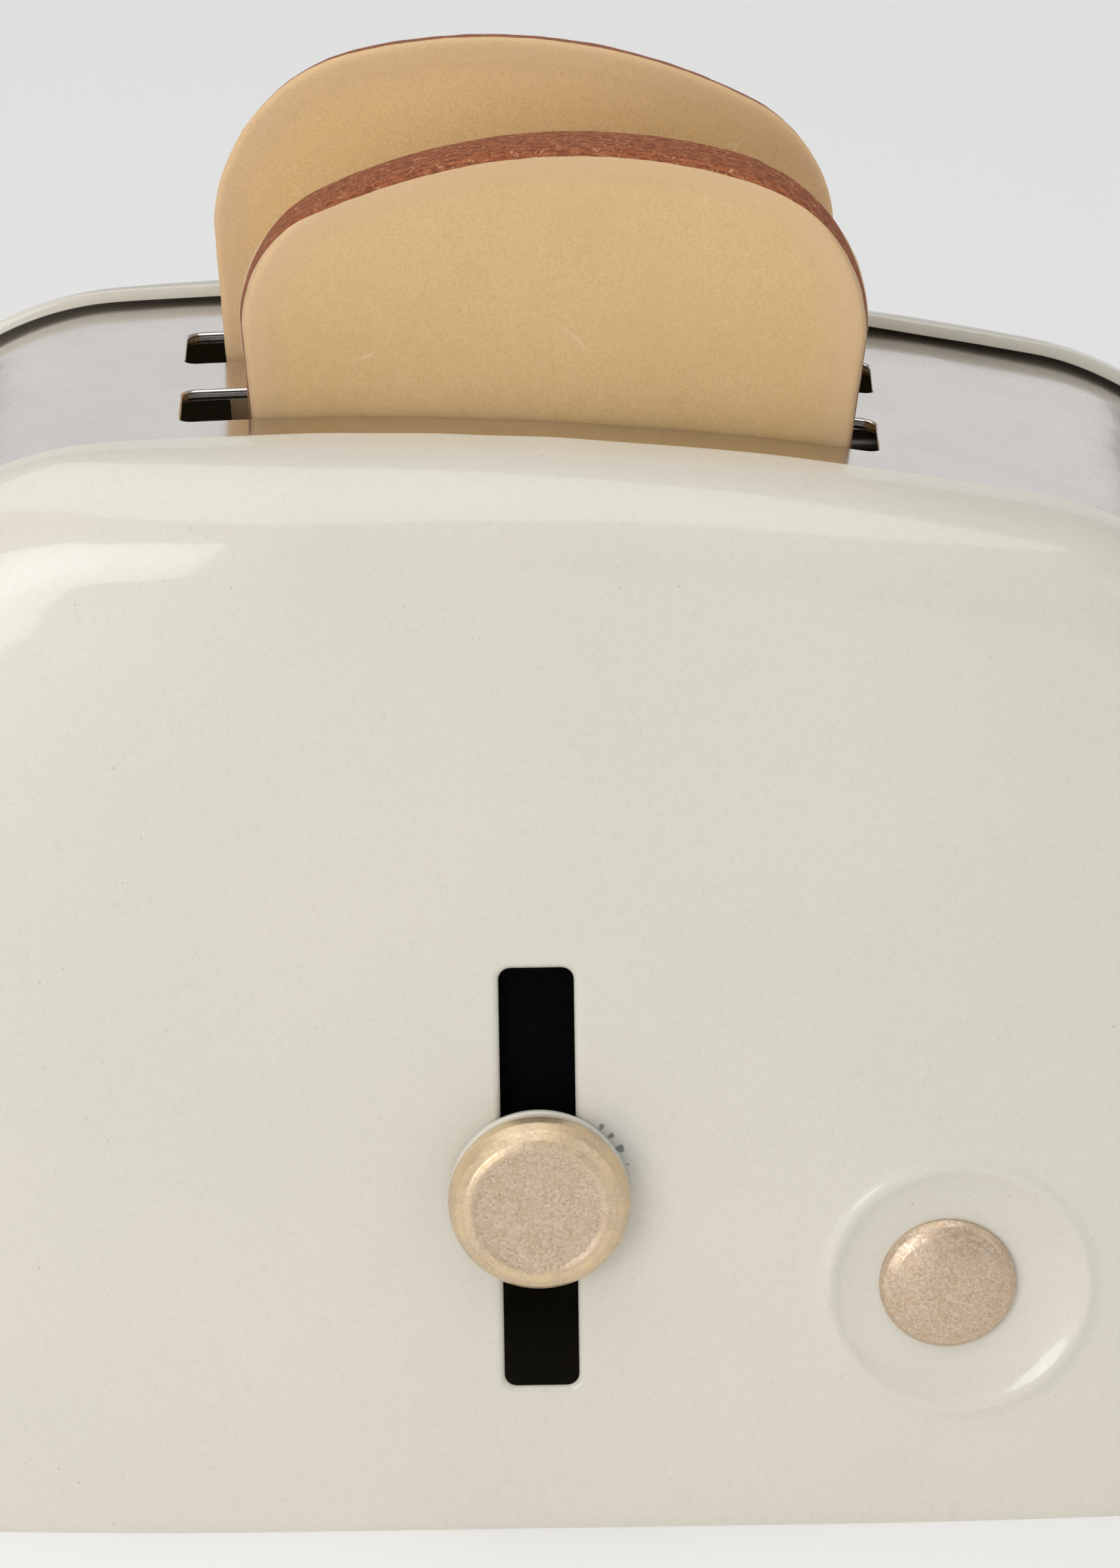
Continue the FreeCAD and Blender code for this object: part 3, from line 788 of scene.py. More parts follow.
def mark_thin_paint(piece, centre_x, centre_z, inner, outer):
    """Marks the rounded rim, where the paint is thin and more golden."""
    mark = piece.data.attributes.new("thin_paint", "FLOAT", "POINT")
    for i, vertex in enumerate(piece.data.vertices):
        r = math.hypot(vertex.co.x / MM - centre_x, vertex.co.z / MM - centre_z)
        mark.data[i].value = max(0.0, min(1.0, (r - inner) / (outer - inner)))


to_front = Matrix.Rotation(math.radians(90), 4, "X")
knob_low, knob_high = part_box("lever_knob")
knob_z = (knob_low.z + knob_high.z) / 2 / MM
knob_radius = (knob_high.x - knob_low.x) / 2 / MM
knob_thickness = (knob_high.y - knob_low.y) / MM
screw_bore = 0.85
knob_bore_depth = 1.05
knob = turned("knob", [
    (0.0, knob_thickness - 0.07),
    (2.45, knob_thickness - 0.07),
    (2.72, knob_thickness),
    (3.02, knob_thickness - 0.08),
    (3.36, knob_thickness - 0.34),
    (knob_radius - 0.06, knob_thickness - 0.7),
    (knob_radius, knob_thickness - 1.05),
    (knob_radius, 0.5),
    (knob_radius - 0.25, 0.25),
    (knob_radius - 0.25, 0.0),
    (screw_bore, 0.0),
    (screw_bore, knob_bore_depth),
    (0.0, knob_bore_depth),
], 0.32, champagne_paint, 160, 8)
lay(knob, lever_x, knob_high.y / MM, knob_z, to_front)
mark_thin_paint(knob, lever_x, knob_z, 2.5, 2.9)
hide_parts("lever_knob")
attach(knob, "lift")

disc_low, disc_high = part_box("knob_disc")
disc_radius = (disc_high.x - disc_low.x) / 2 / MM
disc_thickness = (disc_high.y - disc_low.y) / MM
disc = turned("disc_behind_knob", [
    (screw_bore, 0.0),
    (screw_bore, disc_thickness),
    (disc_radius, disc_thickness),
    (disc_radius, 0.0),
], 0.13, cream_enamel, 128, 5)
lay(disc, lever_x, disc_high.y / MM, knob_z, to_front)
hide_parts("knob_disc")
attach(disc, "lift")

stud_low, stud_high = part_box("button_stud")
stud_x = (stud_low.x + stud_high.x) / 2 / MM
stud_z = (stud_low.z + stud_high.z) / 2 / MM
stud_front = stud_low.y / MM
stud_height = 0.8
stud_radius = 2.76
shank_radius = 0.8
shank_end = stud_height - (stud_high.y - stud_low.y) / MM
stud = turned("stud", [
    (0.0, stud_height - 0.02),
    (0.9, stud_height),
    (1.55, stud_height - 0.1),
    (2.15, stud_height - 0.24),
    (2.55, stud_height - 0.42),
    (stud_radius - 0.02, stud_height - 0.62),
    (stud_radius, 0.02),
    (stud_radius - 0.2, -0.02),
    (shank_radius, 0.0),
    (shank_radius, shank_end),
    (0.0, shank_end),
], 0.5, champagne_paint, 144, 8)
lay(stud, stud_x, stud_front + stud_height, stud_z, to_front)
mark_thin_paint(stud, stud_x, stud_z, 2.3, 4.0)
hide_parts("button_stud")
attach(stud, "housing")

# Bread slices. Two castings in tan resin, each with a red-brown crust brushed on round its edge.
# They stand loose on the rack; the back one is turned round and leans back.
slice_half = 12.6
slice_crown = 23.25
slice_crown_x = 1.2
slice_shoulders = {1: 7.5, -1: 6.1}
slice_foot_half = 11.1
slice_foot_corner = 1.5
slice_thickness = 1.9
slice_bevel = 0.2
edge_width = 2.27
side_bare = 0.8
back_slice_lean = math.radians(5.5)
back_slice_roll = math.radians(1.8)


def half_slice_run(height, step, side):
    """One side of a slice's outline from foot to crown, with the directions outward."""
    shoulder = slice_shoulders[side]
    crown_z = height - slice_crown
    cx = slice_half - shoulder
    reach = slice_crown - shoulder
    cz = crown_z + math.sqrt(reach ** 2 - (cx - side * slice_crown_x) ** 2)
    join = math.atan2(cz - crown_z, cx - side * slice_crown_x)
    lean = math.atan2(slice_half - slice_foot_half, cz)
    half = []

    def arc(x, z, radius, a0, a1, count):
        for i in range(count):
            a = a0 + (a1 - a0) * i / count
            half.append((x + radius * math.cos(a), z + radius * math.sin(a), math.cos(a), math.sin(a)))

    flat = slice_foot_half - slice_foot_corner
    count = round(flat / step)
    half += [(flat * i / count, 0.0, 0.0, -1.0) for i in range(count)]
    arc(flat, slice_foot_corner, slice_foot_corner, -math.pi / 2, -lean, 6)
    low_x = flat + slice_foot_corner * math.cos(lean)
    low_z = slice_foot_corner * (1 - math.sin(lean))
    count = round((cz - low_z) / step)
    for i in range(count):
        t = i / count
        half.append((low_x + (slice_half - low_x) * t, low_z + (cz - low_z) * t,
                     math.cos(lean), -math.sin(lean)))
    arc(cx, cz, shoulder, 0.0, join, round(join * shoulder / step))
    crown_count = round((math.pi / 2 - join) * slice_crown / step)
    arc(side * slice_crown_x, crown_z, slice_crown, join, math.pi / 2, crown_count)
    return [(side * x, z, side * nx, nz) for x, z, nx, nz in half]


def slice_run(height, step):
    """Closed outline of a slice from the middle of its foot. Its crown lies a little right of middle."""
    right = half_slice_run(height, step, 1)
    left = half_slice_run(height, step, -1)
    return right + [(slice_crown_x, height, 0.0, 1.0)] + list(reversed(left[1:]))


def cast_slice(name, height, seed):
    """A slice with its smaller face at y = 0, its foot at z = 0 and soft, slightly uneven faces."""
    run = slice_run(height, 0.3)
    count = len(run)
    t = slice_thickness
    edge = [(slice_bevel + 0.30, 0.0), (slice_bevel + 0.18, 0.012), (slice_bevel + 0.09, 0.045),
            (slice_bevel + 0.03, 0.11), (slice_bevel - 0.01, 0.22), (slice_bevel * 0.75, 0.5),
            (slice_bevel * 0.5, 0.95), (slice_bevel * 0.25, 1.4), (0.02, t - 0.22), (0.03, t - 0.11),
            (0.09, t - 0.045), (0.18, t - 0.012), (0.30, t)]
    inner_steps = [0.2, 0.42, 0.7]
    profile = [(edge[0][0] + step, 0.0) for step in reversed(inner_steps)] + edge
    profile += [(edge[-1][0] + step, t) for step in inner_steps]
    shape = bmesh.new()
    round_run = shape.verts.layers.float.new("round_run")
    over_edge = shape.verts.layers.float.new("over_edge")
    edge_gap = shape.verts.layers.float.new("edge_gap")
    facing_up = shape.verts.layers.float.new("facing_up")

    def put(x, y, z, nx, nz, around, over, gap):
        front = y < t / 2
        swell = 0.035 * noise.noise(Vector((x * 0.22, z * 0.22, seed + (0.0 if front else 9.0))))
        swell += 0.010 * noise.noise(Vector((x * 1.3, y * 1.3, z * 1.3 + seed)))
        sunk = min(1.0, max(0.0, gap / 1.2))
        level = y + (1 if front else -1) * (0.03 + swell) * sunk
        rough = 0.022 * noise.noise(Vector((x * 1.1, y * 1.6, z * 1.1 + seed * 2)))
        rough += 0.012 * noise.noise(Vector((x * 3.1, y * 3.1, z * 3.1 + seed)))
        pull = (0.03 + rough) * (1 - sunk)
        vertex = shape.verts.new(Vector((x - nx * pull, level, z - nz * pull)) * MM)
        vertex[round_run] = around
        vertex[over_edge] = over
        vertex[edge_gap] = gap
        vertex[facing_up] = nz
        return vertex

    around = [0.0]
    for a, b in zip(run, run[1:]):
        around.append(around[-1] + math.dist(a[:2], b[:2]))
    over = [0.0]
    for a, b in zip(profile, profile[1:]):
        over.append(over[-1] + math.dist(a, b))
    front_edge = over[len(inner_steps)]
    rings = []
    for (inset, y), far in zip(profile, over):
        gap = max(0.0, front_edge - far, far - over[-1 - len(inner_steps)])
        rings.append([put(x - inset * nx, y, z - inset * nz, nx, nz, run_at, far - front_edge, gap)
                      for (x, z, nx, nz), run_at in zip(run, around)])
    for near, far in zip(rings, rings[1:]):
        for i in range(count):
            k = (i + 1) % count
            shape.faces.new((near[i], near[k], far[k], far[i]))

    spacing = 0.32
    shift = 0.08
    for inset, y, ring in ((profile[0][0], 0.0, rings[0]), (profile[-1][0], t, rings[-1])):
        boundary = [(x - inset * nx, z - inset * nz) for x, z, nx, nz in run]
        corners = [Vector(p) for p in boundary]
        loose = []
        wide = int(slice_half / spacing)
        tall = int(height / spacing)
        for i in range(-wide, wide + 1):
            for k in range(1, tall + 1):
                p = Vector((i * spacing + shift * math.sin(k * 2.3), k * spacing + shift * math.sin(i * 1.7)))
                nearest = min(range(count), key=lambda j: (corners[j] - p).length_squared)
                x, z, nx, nz = run[nearest]
                depth = (x - p.x) * nx + (z - p.y) * nz
                if depth > inset + 0.22:
                    loose.append((p.x, p.y, depth))
        flat, faces = fill_flat(boundary, [], [(x, z) for x, z, _ in loose], lambda x, z: True)
        depths = [inset] * len(boundary) + [depth for _, _, depth in loose]
        verts = list(ring)
        for p, depth in zip(flat[len(boundary):], depths[len(boundary):]):
            verts.append(put(p.x, y, p.y, 0.0, 0.0, 0.0, -5.0 if y == 0.0 else 9.0, depth))
        for face in faces:
            if all(i < len(boundary) for i in face):
                continue
            shape.faces.new([verts[i] for i in face])
    turn_outwards(shape)
    return smooth_piece(name, shape)


def toast(name, light, near_spill, far_spill, dry):
    """Tan resin, its crust brushed round the edge and some way on to both faces, in millimetres."""
    material, tree, shader = fresh_material(name)
    where = in_millimetres(tree)

    gap = painted(tree, "edge_gap")
    drift = spread(tree, clouds(tree, where, 0.11, 2.0), 0.36, 0.66)
    deep = tuple(light * c for c in (0.675, 0.455, 0.205))
    clear = tuple(light * c for c in (0.715, 0.485, 0.232))
    base = tint(tree, drift, deep, clear)
    mottle = spread(tree, clouds(tree, where, 1.7, 5.0, 0.7), 0.42, 0.68)
    base = tint(tree, times(tree, mottle, 0.55), base, (0.745, 0.520, 0.270))
    grain = spread(tree, clouds(tree, where, 9.0, 3.0, 0.7), 0.45, 0.75)
    base = tint(tree, times(tree, grain, 0.6), base, (0.56, 0.36, 0.150))
    wander = times(tree, clouds(tree, where, 0.5), 2.0)
    pale = spread(tree, plus(tree, gap, wander), 3.4, 0.8)
    base = tint(tree, times(tree, pale, 0.5), base, (0.690, 0.475, 0.310))
    dots = times(tree, specks(tree, where, 1.5, 0.10, 0.16), 0.6)
    base = tint(tree, dots, base, (0.86, 0.76, 0.56))
    pits = times(tree, specks(tree, where, 0.9, 0.06, 0.25), 0.5)
    base = tint(tree, pits, base, (0.36, 0.20, 0.09))

    bent = tree.nodes.new("ShaderNodeVectorMath")
    bent.operation = "ADD"
    sway = tree.nodes.new("ShaderNodeTexNoise")
    sway.inputs["Scale"].default_value = 0.35
    tree.links.new(where, sway.inputs["Vector"])
    tree.links.new(where, bent.inputs[0])
    tree.links.new(sway.outputs["Color"], bent.inputs[1])
    cracks = tree.nodes.new("ShaderNodeTexVoronoi")
    cracks.feature = "DISTANCE_TO_EDGE"
    cracks.inputs["Scale"].default_value = 0.15
    tree.links.new(bent.outputs[0], cracks.inputs["Vector"])
    hair = spread(tree, cracks.outputs["Distance"], 0.009, 0.003)
    patchy = spread(tree, clouds(tree, where, 0.3, 4.0, 0.75), 0.60, 0.68)
    scuff = times(tree, hair, patchy)
    rub = times(tree, spread(tree, clouds(tree, where, 0.8, 8.0, 0.82), 0.655, 0.74),
                spread(tree, clouds(tree, where, 0.17, 1.0), 0.50, 0.60))
    marks = math_node(tree, "MAXIMUM", times(tree, scuff, 0.5), rub)
    white = times(tree, marks, 0.6)
    base = tint(tree, white, base, (0.88, 0.80, 0.66))

    strokes_at = tree.nodes.new("ShaderNodeCombineXYZ")
    tree.links.new(times(tree, painted(tree, "round_run"), 1.1), strokes_at.inputs[0])
    tree.links.new(times(tree, painted(tree, "over_edge"), 5.0), strokes_at.inputs[1])
    strokes = clouds(tree, strokes_at.outputs[0], 1.6, 6.0, 0.72)
    fray = clouds(tree, where, 4.5, 4.0, 0.7)
    over = painted(tree, "over_edge")
    over_top = spread(tree, painted(tree, "facing_up"), 0.35, 0.95, side_bare, 0.0)
    near = spread(tree, math_node(tree, "SUBTRACT", over, over_top), -near_spill, 0.05 - near_spill)
    far_end = edge_width + far_spill
    far = spread(tree, plus(tree, over, over_top), far_end, far_end - 0.05)
    cover = times(tree, near, far)
    worn = plus(tree, times(tree, strokes, 0.7), times(tree, fray, 0.5))
    left = tree.nodes.new("ShaderNodeSeparateXYZ")
    tree.links.new(where, left.inputs[0])
    dryness = spread(tree, left.outputs[0], 2.0, -10.0, dry, dry + 0.16)
    paint = math_node(tree, "SUBTRACT", times(tree, cover, 0.95),
                      plus(tree, times(tree, worn, 0.62), dryness))
    crust = spread(tree, paint, 0.07, 0.17)
    brown = tint(tree, spread(tree, strokes, 0.42, 0.58), (0.185, 0.048, 0.018), (0.385, 0.125, 0.047))
    pinholes = spread(tree, clouds(tree, where, 5.5, 3.0, 0.8), 0.58, 0.66)
    pinholes = times(tree, pinholes, 0.8)
    brown = tint(tree, pinholes, brown, (0.60, 0.33, 0.17))
    base = tint(tree, crust, base, brown)
    tree.links.new(base, shader.inputs["Base Color"])
    tree.links.new(spread(tree, math_node(tree, "MAXIMUM", mottle, crust), 0.0, 1.0, 0.46, 0.85),
                   shader.inputs["Roughness"])
    shader.inputs["Specular IOR Level"].default_value = 0.42
    shader.inputs["Subsurface Weight"].default_value = 0.12
    shader.inputs["Subsurface Radius"].default_value = (0.9, 0.5, 0.25)
    shader.inputs["Subsurface Scale"].default_value = 0.8 * MM
    relief(tree, shader, (clouds(tree, where, 1.9, 4.0, 0.6), 0.012), (grain, 0.004), (strokes, 0.006))
    return material


def settle(piece, node):
    """Moves a slice so that its box meets the node's box at the foot and at its middle."""
    low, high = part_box(node)
    mine = [vertex.co for vertex in piece.data.vertices]
    own_low = Vector([min(c[i] for c in mine) for i in range(3)])
    own_high = Vector([max(c[i] for c in mine) for i in range(3)])
    middle = (low + high) / 2 - (own_low + own_high) / 2
    piece.data.transform(Matrix.Translation((middle.x, middle.y, low.z - own_low.z)))


front_height = 23.05
front_slice_roll = math.radians(2.0)
front_slice = cast_slice("front_bread", front_height, 2.0)
front_slice.data.materials.append(toast("toast_front", 1.0, 0.06, 0.1, -0.10))
front_slice.data.transform(Matrix.Rotation(front_slice_roll, 4, "Y"))
settle(front_slice, "front_slice")
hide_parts("front_slice")
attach(front_slice, "front_slice")

back_slice_extra = 1.65
back_slice = cast_slice("back_bread", front_height + back_slice_extra, 31.0)
back_slice.data.materials.append(toast("toast_back", 1.14, 0.1, -0.3, -0.06))
back_slice.data.transform(Matrix.Rotation(math.pi, 4, "Z"))
back_slice.data.transform(Matrix.Rotation(back_slice_roll, 4, "Y"))
back_slice.data.transform(Matrix.Rotation(-back_slice_lean, 4, "X"))
settle(back_slice, "back_slice")
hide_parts("back_slice")
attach(back_slice, "back_slice")

# Fasteners. Six countersunk steel screws close the base, two rivets join the rack to its carriage
# and two push-on washers hold the wire. Each kind is one shape repeated at its places.
repeating = bpy.data.node_groups.new("repeating", "GeometryNodeTree")
tree_ends(repeating)
repeating_shape = named_input(repeating, "Shape", "NodeSocketObject")
repeating_turn = named_input(repeating, "Turn each", "NodeSocketFloat", 0.0)
repeating_seed = named_input(repeating, "Seed", "NodeSocketInt", 7)
repeating_material = named_input(repeating, "Material", "NodeSocketMaterial")


def draw_repeating(tree):
    given = tree.nodes.new("NodeGroupInput")
    points = tree.nodes.new("GeometryNodeMeshToPoints")
    shape = tree.nodes.new("GeometryNodeObjectInfo")
    chance = tree.nodes.new("FunctionNodeRandomValue")
    turn = tree.nodes.new("ShaderNodeCombineXYZ")
    copies = tree.nodes.new("GeometryNodeInstanceOnPoints")
    tree.links.new(given.outputs["Geometry"], points.inputs["Mesh"])
    tree.links.new(given.outputs["Shape"], shape.inputs["Object"])
    tree.links.new(given.outputs["Turn each"], chance.inputs[3])
    tree.links.new(given.outputs["Seed"], chance.inputs["Seed"])
    tree.links.new(chance.outputs[1], turn.inputs["Z"])
    tree.links.new(points.outputs["Points"], copies.inputs["Points"])
    tree.links.new(shape.outputs["Geometry"], copies.inputs["Instance"])
    tree.links.new(turn.outputs["Vector"], copies.inputs["Rotation"])
    close_tree(tree, copies.outputs["Instances"], given)


draw_repeating(repeating)


def repeated(name, shape, places, material, turn=0.0, seed=7):
    """One shape at every place, each turned about its own axis by a random part of a turn."""
    mesh = bpy.data.meshes.new(name)
    mesh.from_pydata([Vector(p) * MM for p in places], [], [])
    points = set_out(name, mesh)
    piece = with_nodes(points, repeating, {repeating_shape: shape, repeating_turn: turn,
                                           repeating_seed: seed, repeating_material: material})
    bpy.data.objects.remove(shape)
    return piece


def steel(name, base, rough, worn, metal, shine):
    """Plated or painted steel with a fine drawn grain and a little dirt."""
    material, tree, shader = fresh_material(name)
    where = in_millimetres(tree)
    drawn = in_millimetres(tree, stretch=(0.35, 4.0, 4.0))
    grain = clouds(tree, drawn, 3.0, 4.0, 0.65)
    stain = spread(tree, clouds(tree, where, 0.7, 4.0, 0.6), 0.4, 0.72)
    colour = tint(tree, stain, base, worn)
    colour = tint(tree, times(tree, spread(tree, grain, 0.35, 0.7), 0.3), colour, worn)
    tree.links.new(colour, shader.inputs["Base Color"])
    shader.inputs["Metallic"].default_value = metal
    shader.inputs["Specular IOR Level"].default_value = shine
    tree.links.new(spread(tree, grain, 0.3, 0.7, rough, rough + 0.18), shader.inputs["Roughness"])
    relief(tree, shader, (grain, 0.003), (clouds(tree, where, 1.6, 3.0), 0.004))
    return material


zinc = steel("zinc_steel", (0.52, 0.52, 0.51), 0.28, (0.40, 0.38, 0.35), 0.9, 0.5)
# Painted shade: near-black steel for the inner parts, so that the slots look dark inside.
black_steel = steel("black_steel", (0.0016, 0.0016, 0.0016), 0.5, (0.003, 0.003, 0.003), 0.0, 0.02)

screw_low, screw_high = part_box("base_screws")
screw_length = (screw_high.z - screw_low.z) / MM
screw_head_radius = 1.3
screw_radius = 0.7
screw_head_height = 0.5
cross_width = 0.3
cross_depth = 0.25
thread_pitch = 0.35


def base_screw():
    """Screw standing on its countersunk head, with a cross recess and the ridges of its thread."""
    profile = [(0.0, screw_length), (screw_radius - 0.22, screw_length)]
    z = screw_length - 0.1
    while z > screw_head_height + thread_pitch:
        profile.append((screw_radius, z - thread_pitch * 0.3))
        profile.append((screw_radius - 0.12, z - thread_pitch * 0.75))
        z -= thread_pitch
    profile += [(screw_radius, screw_head_height), (screw_head_radius, 0.06), (screw_head_radius, 0.0),
                (0.0, 0.0)]
    screw = turned("screw_shape", profile, 0.03, zinc, 40, 2)
    cutter = bmesh.new()
    for size in ((screw_radius * 1.7, cross_width, 1), (cross_width, screw_radius * 1.7, 1)):
        bmesh.ops.create_cube(cutter, size=1.0, matrix=Matrix.Diagonal(
            (size[0] * MM, size[1] * MM, 2 * cross_depth * MM, 1)))
    mesh = bpy.data.meshes.new("cross")
    cutter.to_mesh(mesh)
    cutter.free()
    cross = set_out("cross", mesh)
    recess = screw.modifiers.new("recess", "BOOLEAN")
    recess.operation = "DIFFERENCE"
    recess.solver = "EXACT"
    recess.use_self = True
    recess.object = cross
    finished(screw)
    bpy.data.objects.remove(cross)
    return screw


def middles(node, count):
    """Middle of each separate solid of a node, in x and y."""
    shape = bmesh.new()
    shape.from_mesh(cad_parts[node].data)
    bmesh.ops.remove_doubles(shape, verts=shape.verts, dist=0.001 * MM)
    left = set(shape.verts)
    found = []
    while left:
        island = [left.pop()]
        for vertex in island:
            for edge in vertex.link_edges:
                other = edge.other_vert(vertex)
                if other in left:
                    left.discard(other)
                    island.append(other)
        xs = [vertex.co.x / MM for vertex in island]
        ys = [vertex.co.y / MM for vertex in island]
        found.append(((min(xs) + max(xs)) / 2, (min(ys) + max(ys)) / 2))
    shape.free()
    return sorted(found)[:count]


screw_places = [(x, y, screw_low.z / MM) for x, y in middles("base_screws", 6)]
base_screws = repeated("base_screw_set", base_screw(), screw_places, zinc, math.pi / 2)
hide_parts("base_screws")
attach(base_screws, "housing")

rivet_low, rivet_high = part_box("rack_rivets")
rivet_height = (rivet_high.z - rivet_low.z) / MM
rivet_head = 0.35
rivet_head_radius = 0.7
rivet_radius = 0.5
rivet_shape = turned("rivet_shape", [
    (0.0, rivet_height),
    (rivet_head_radius * 0.6, rivet_height - 0.03),
    (rivet_head_radius, rivet_height - rivet_head * 0.7),
    (rivet_head_radius, rivet_height - rivet_head),
    (rivet_radius, rivet_height - rivet_head),
    (rivet_radius, rivet_head),
    (rivet_head_radius, rivet_head),
    (rivet_head_radius, rivet_head * 0.5),
    (rivet_head_radius * 0.7, 0.0),
    (0.0, 0.0),
], 0.06, zinc, 40, 3)
rivet_places = [(x, y, rivet_low.z / MM) for x, y in middles("rack_rivets", 2)]
rivets = repeated("rack_rivet_pair", rivet_shape, rivet_places, zinc)
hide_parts("rack_rivets")
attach(rivets, "lift")

washer_low, washer_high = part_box("lock_washers")
washer_thickness = (washer_high.z - washer_low.z) / MM
washer_radius = 1.7
wire_radius = 0.6
washer_shape = turned("washer_shape", [
    (wire_radius + 0.01, washer_thickness),
    (washer_radius - 0.3, washer_thickness - 0.06),
    (washer_radius, washer_thickness * 0.6),
    (washer_radius, 0.0),
    (wire_radius + 0.01, 0.0),
], 0.05, zinc, 48, 3)
washer_places = [(x, y, washer_low.z / MM) for x, y in middles("lock_washers", 2)]
washers = repeated("wire_washer_pair", washer_shape, washer_places, zinc)
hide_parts("lock_washers")
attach(washers, "housing")

# Wire guide. Zinc-plated wire bent like a staple: the rack runs on its legs, and its feet go
# through the base plate. The round section follows the bent line.
wire_bend = 1.3
bending = bpy.data.node_groups.new("bending", "GeometryNodeTree")
tree_ends(bending)
bending_bend = named_input(bending, "Bend", "NodeSocketFloat", wire_bend * MM)
bending_radius = named_input(bending, "Radius", "NodeSocketFloat", wire_radius * MM)
bending_facets = named_input(bending, "Facets", "NodeSocketInt", 24)
bending_material = named_input(bending, "Material", "NodeSocketMaterial")


def draw_bending(tree):
    given = tree.nodes.new("NodeGroupInput")
    bend = tree.nodes.new("GeometryNodeFilletCurve")
    section = tree.nodes.new("GeometryNodeCurvePrimitiveCircle")
    sweep = tree.nodes.new("GeometryNodeCurveToMesh")
    smooth = tree.nodes.new("GeometryNodeSetShadeSmooth")
    bend.mode = "POLY"
    bend.inputs["Count"].default_value = 10
    sweep.inputs["Fill Caps"].default_value = True
    tree.links.new(given.outputs["Geometry"], bend.inputs["Curve"])
    tree.links.new(given.outputs["Bend"], bend.inputs["Radius"])
    tree.links.new(given.outputs["Radius"], section.inputs["Radius"])
    tree.links.new(given.outputs["Facets"], section.inputs["Resolution"])
    tree.links.new(bend.outputs["Curve"], sweep.inputs["Curve"])
    tree.links.new(section.outputs["Curve"], sweep.inputs["Profile Curve"])
    tree.links.new(sweep.outputs["Mesh"], smooth.inputs["Geometry"])
    close_tree(tree, smooth.outputs["Geometry"], given)


draw_bending(bending)
wire_low, wire_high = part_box("guide_frame")
wire_left = wire_low.x / MM + wire_radius
wire_right = wire_high.x / MM - wire_radius
wire_foot = wire_low.z / MM
wire_top = wire_high.z / MM - wire_radius
wire_line = line_curve("guide_wire", [(wire_left, 0, wire_foot), (wire_left, 0, wire_top),
                                      (wire_right, 0, wire_top), (wire_right, 0, wire_foot)])
guide_wire = with_nodes(wire_line, bending, {bending_bend: wire_bend * MM, bending_radius: wire_radius * MM,
                                             bending_facets: 28, bending_material: zinc})
face_outwards(guide_wire)
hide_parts("guide_frame")
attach(guide_wire, "housing")

# Pressed and punched inner parts. The base plate is enamelled like the pans; carriage, rack and bush are
# near-black steel and the friction disc near-black hard fibre, as painted shade that keeps the slots dark
# inside; clip, spring disc and screw are zinc plated.


def hard_fibre_shade_black():
    material, tree, shader = fresh_material("black_fibre")
    where = in_millimetres(tree)
    strands = clouds(tree, in_millimetres(tree, stretch=(2.0, 2.0, 9.0)), 2.0, 5.0, 0.7)
    # Painted shade: the fibre is made almost black, so that the lever slot looks dark inside.
    base = tint(tree, spread(tree, strands, 0.35, 0.7), (0.0012, 0.0011, 0.001), (0.0030, 0.0026, 0.0022))
    tree.links.new(base, shader.inputs["Base Color"])
    shader.inputs["Roughness"].default_value = 0.85
    shader.inputs["Specular IOR Level"].default_value = 0.04
    relief(tree, shader, (strands, 0.01), (clouds(tree, where, 5.0), 0.004))
    return material


fibre = hard_fibre_shade_black()


def dress(node, material):
    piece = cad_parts[node]
    if not piece.material_slots:
        piece.data.materials.append(None)
    for place in piece.material_slots:
        place.material = material


for node, material in (
    ("base_plate", cream_enamel),
    ("lift_carriage", black_steel),
    ("bread_rack", black_steel),
    ("slot_bush", black_steel),
    ("friction_disc", fibre),
    ("spring_disc", zinc),
    ("lever_screw", zinc),
    ("stud_clip", zinc),
):
    dress(node, material)

# Table. A plain white surface that runs on behind the toaster.
table_half = 2.2
table_mesh = bpy.data.meshes.new("table")
table_mesh.from_pydata([(-table_half, -table_half, 0), (table_half, -table_half, 0),
                        (table_half, table_half, 0), (-table_half, table_half, 0)], [], [(0, 1, 2, 3)])
table = set_out("table", table_mesh)
table_white, _, table_shader = fresh_material("table_white")
table_shader.inputs["Base Color"].default_value = (0.94, 0.94, 0.94, 1.0)
table_shader.inputs["Roughness"].default_value = 0.7
table.data.materials.append(table_white)


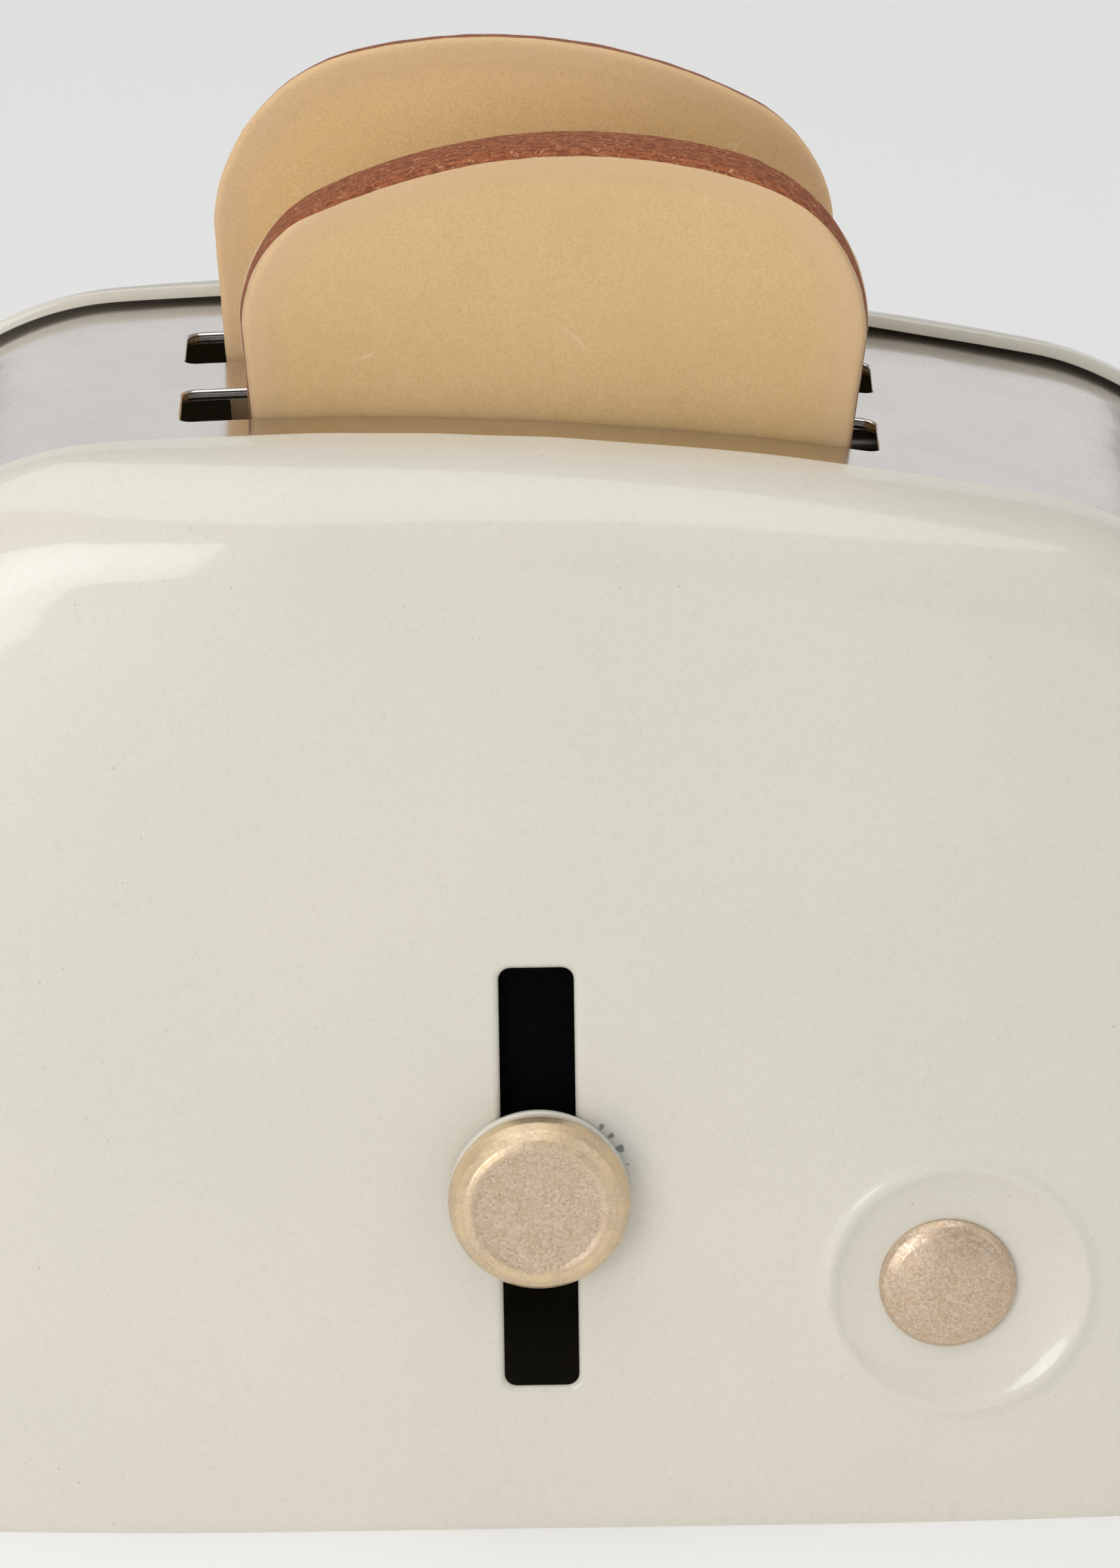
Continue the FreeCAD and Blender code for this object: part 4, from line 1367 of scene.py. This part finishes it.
# Lights. A small low soft box on the left with a narrow fan, and large ones on the right, overhead
# and behind the toaster.
def soft_box(name, place, aim, width, height, power, fan=180):
    light = bpy.data.lights.new(name, "AREA")
    light.shape = "RECTANGLE"
    light.size = width
    light.size_y = height
    light.energy = power
    light.spread = math.radians(fan)
    lamp = set_out(name, light)
    lamp.location = place
    lamp.rotation_euler = (Vector(aim) - Vector(place)).to_track_quat("-Z", "Y").to_euler()


toaster_middle = (0.0, 0.0, 0.025)
soft_box("left_box", (-0.155, -0.26, 0.082), toaster_middle, 0.18, 0.15, 0.058, fan=75)
soft_box("right_box", (0.80, -0.50, 0.45), toaster_middle, 0.5, 0.7, 0.8)
soft_box("top_box", (-0.25, -0.3, 1.05), toaster_middle, 1.3, 1.1, 6.8)
soft_box("back_box", (0.0, 1.6, 0.75), toaster_middle, 2.4, 1.0, 3.8)

world = bpy.data.worlds.new("studio")
bpy.context.scene.world = world
world.use_nodes = True
world.node_tree.nodes["Background"].inputs["Color"].default_value = (1.0, 0.995, 0.985, 1.0)
world.node_tree.nodes["Background"].inputs["Strength"].default_value = 0.38
bpy.context.scene.view_settings.view_transform = "Standard"

# Camera. It looks down at the toaster from the front, turned a little about its own axis.
camera_down = math.radians(20.0)
camera_roll = math.radians(0.85)
camera_distance = 420.0
camera_aim = Vector((0.0, -15.0, 32.03))
camera_lens = 244.7
film_height = 36.0

look = Vector((0.0, math.cos(camera_down), -math.sin(camera_down)))
level_right = look.cross(Vector((0, 0, 1))).normalized()
level_up = level_right.cross(look)
right = level_right * math.cos(camera_roll) - level_up * math.sin(camera_roll)
up = level_up * math.cos(camera_roll) + level_right * math.sin(camera_roll)
lens = bpy.data.cameras.new("camera")
lens.sensor_fit = "VERTICAL"
lens.sensor_height = film_height
lens.lens = camera_lens
lens.clip_start = 0.01
lens.clip_end = 20.0
camera = set_out("camera", lens)
camera.matrix_world = Matrix.Translation((camera_aim - look * camera_distance) * MM) @ Matrix(
    (right, up, -look)).transposed().to_4x4()
bpy.context.scene.camera = camera
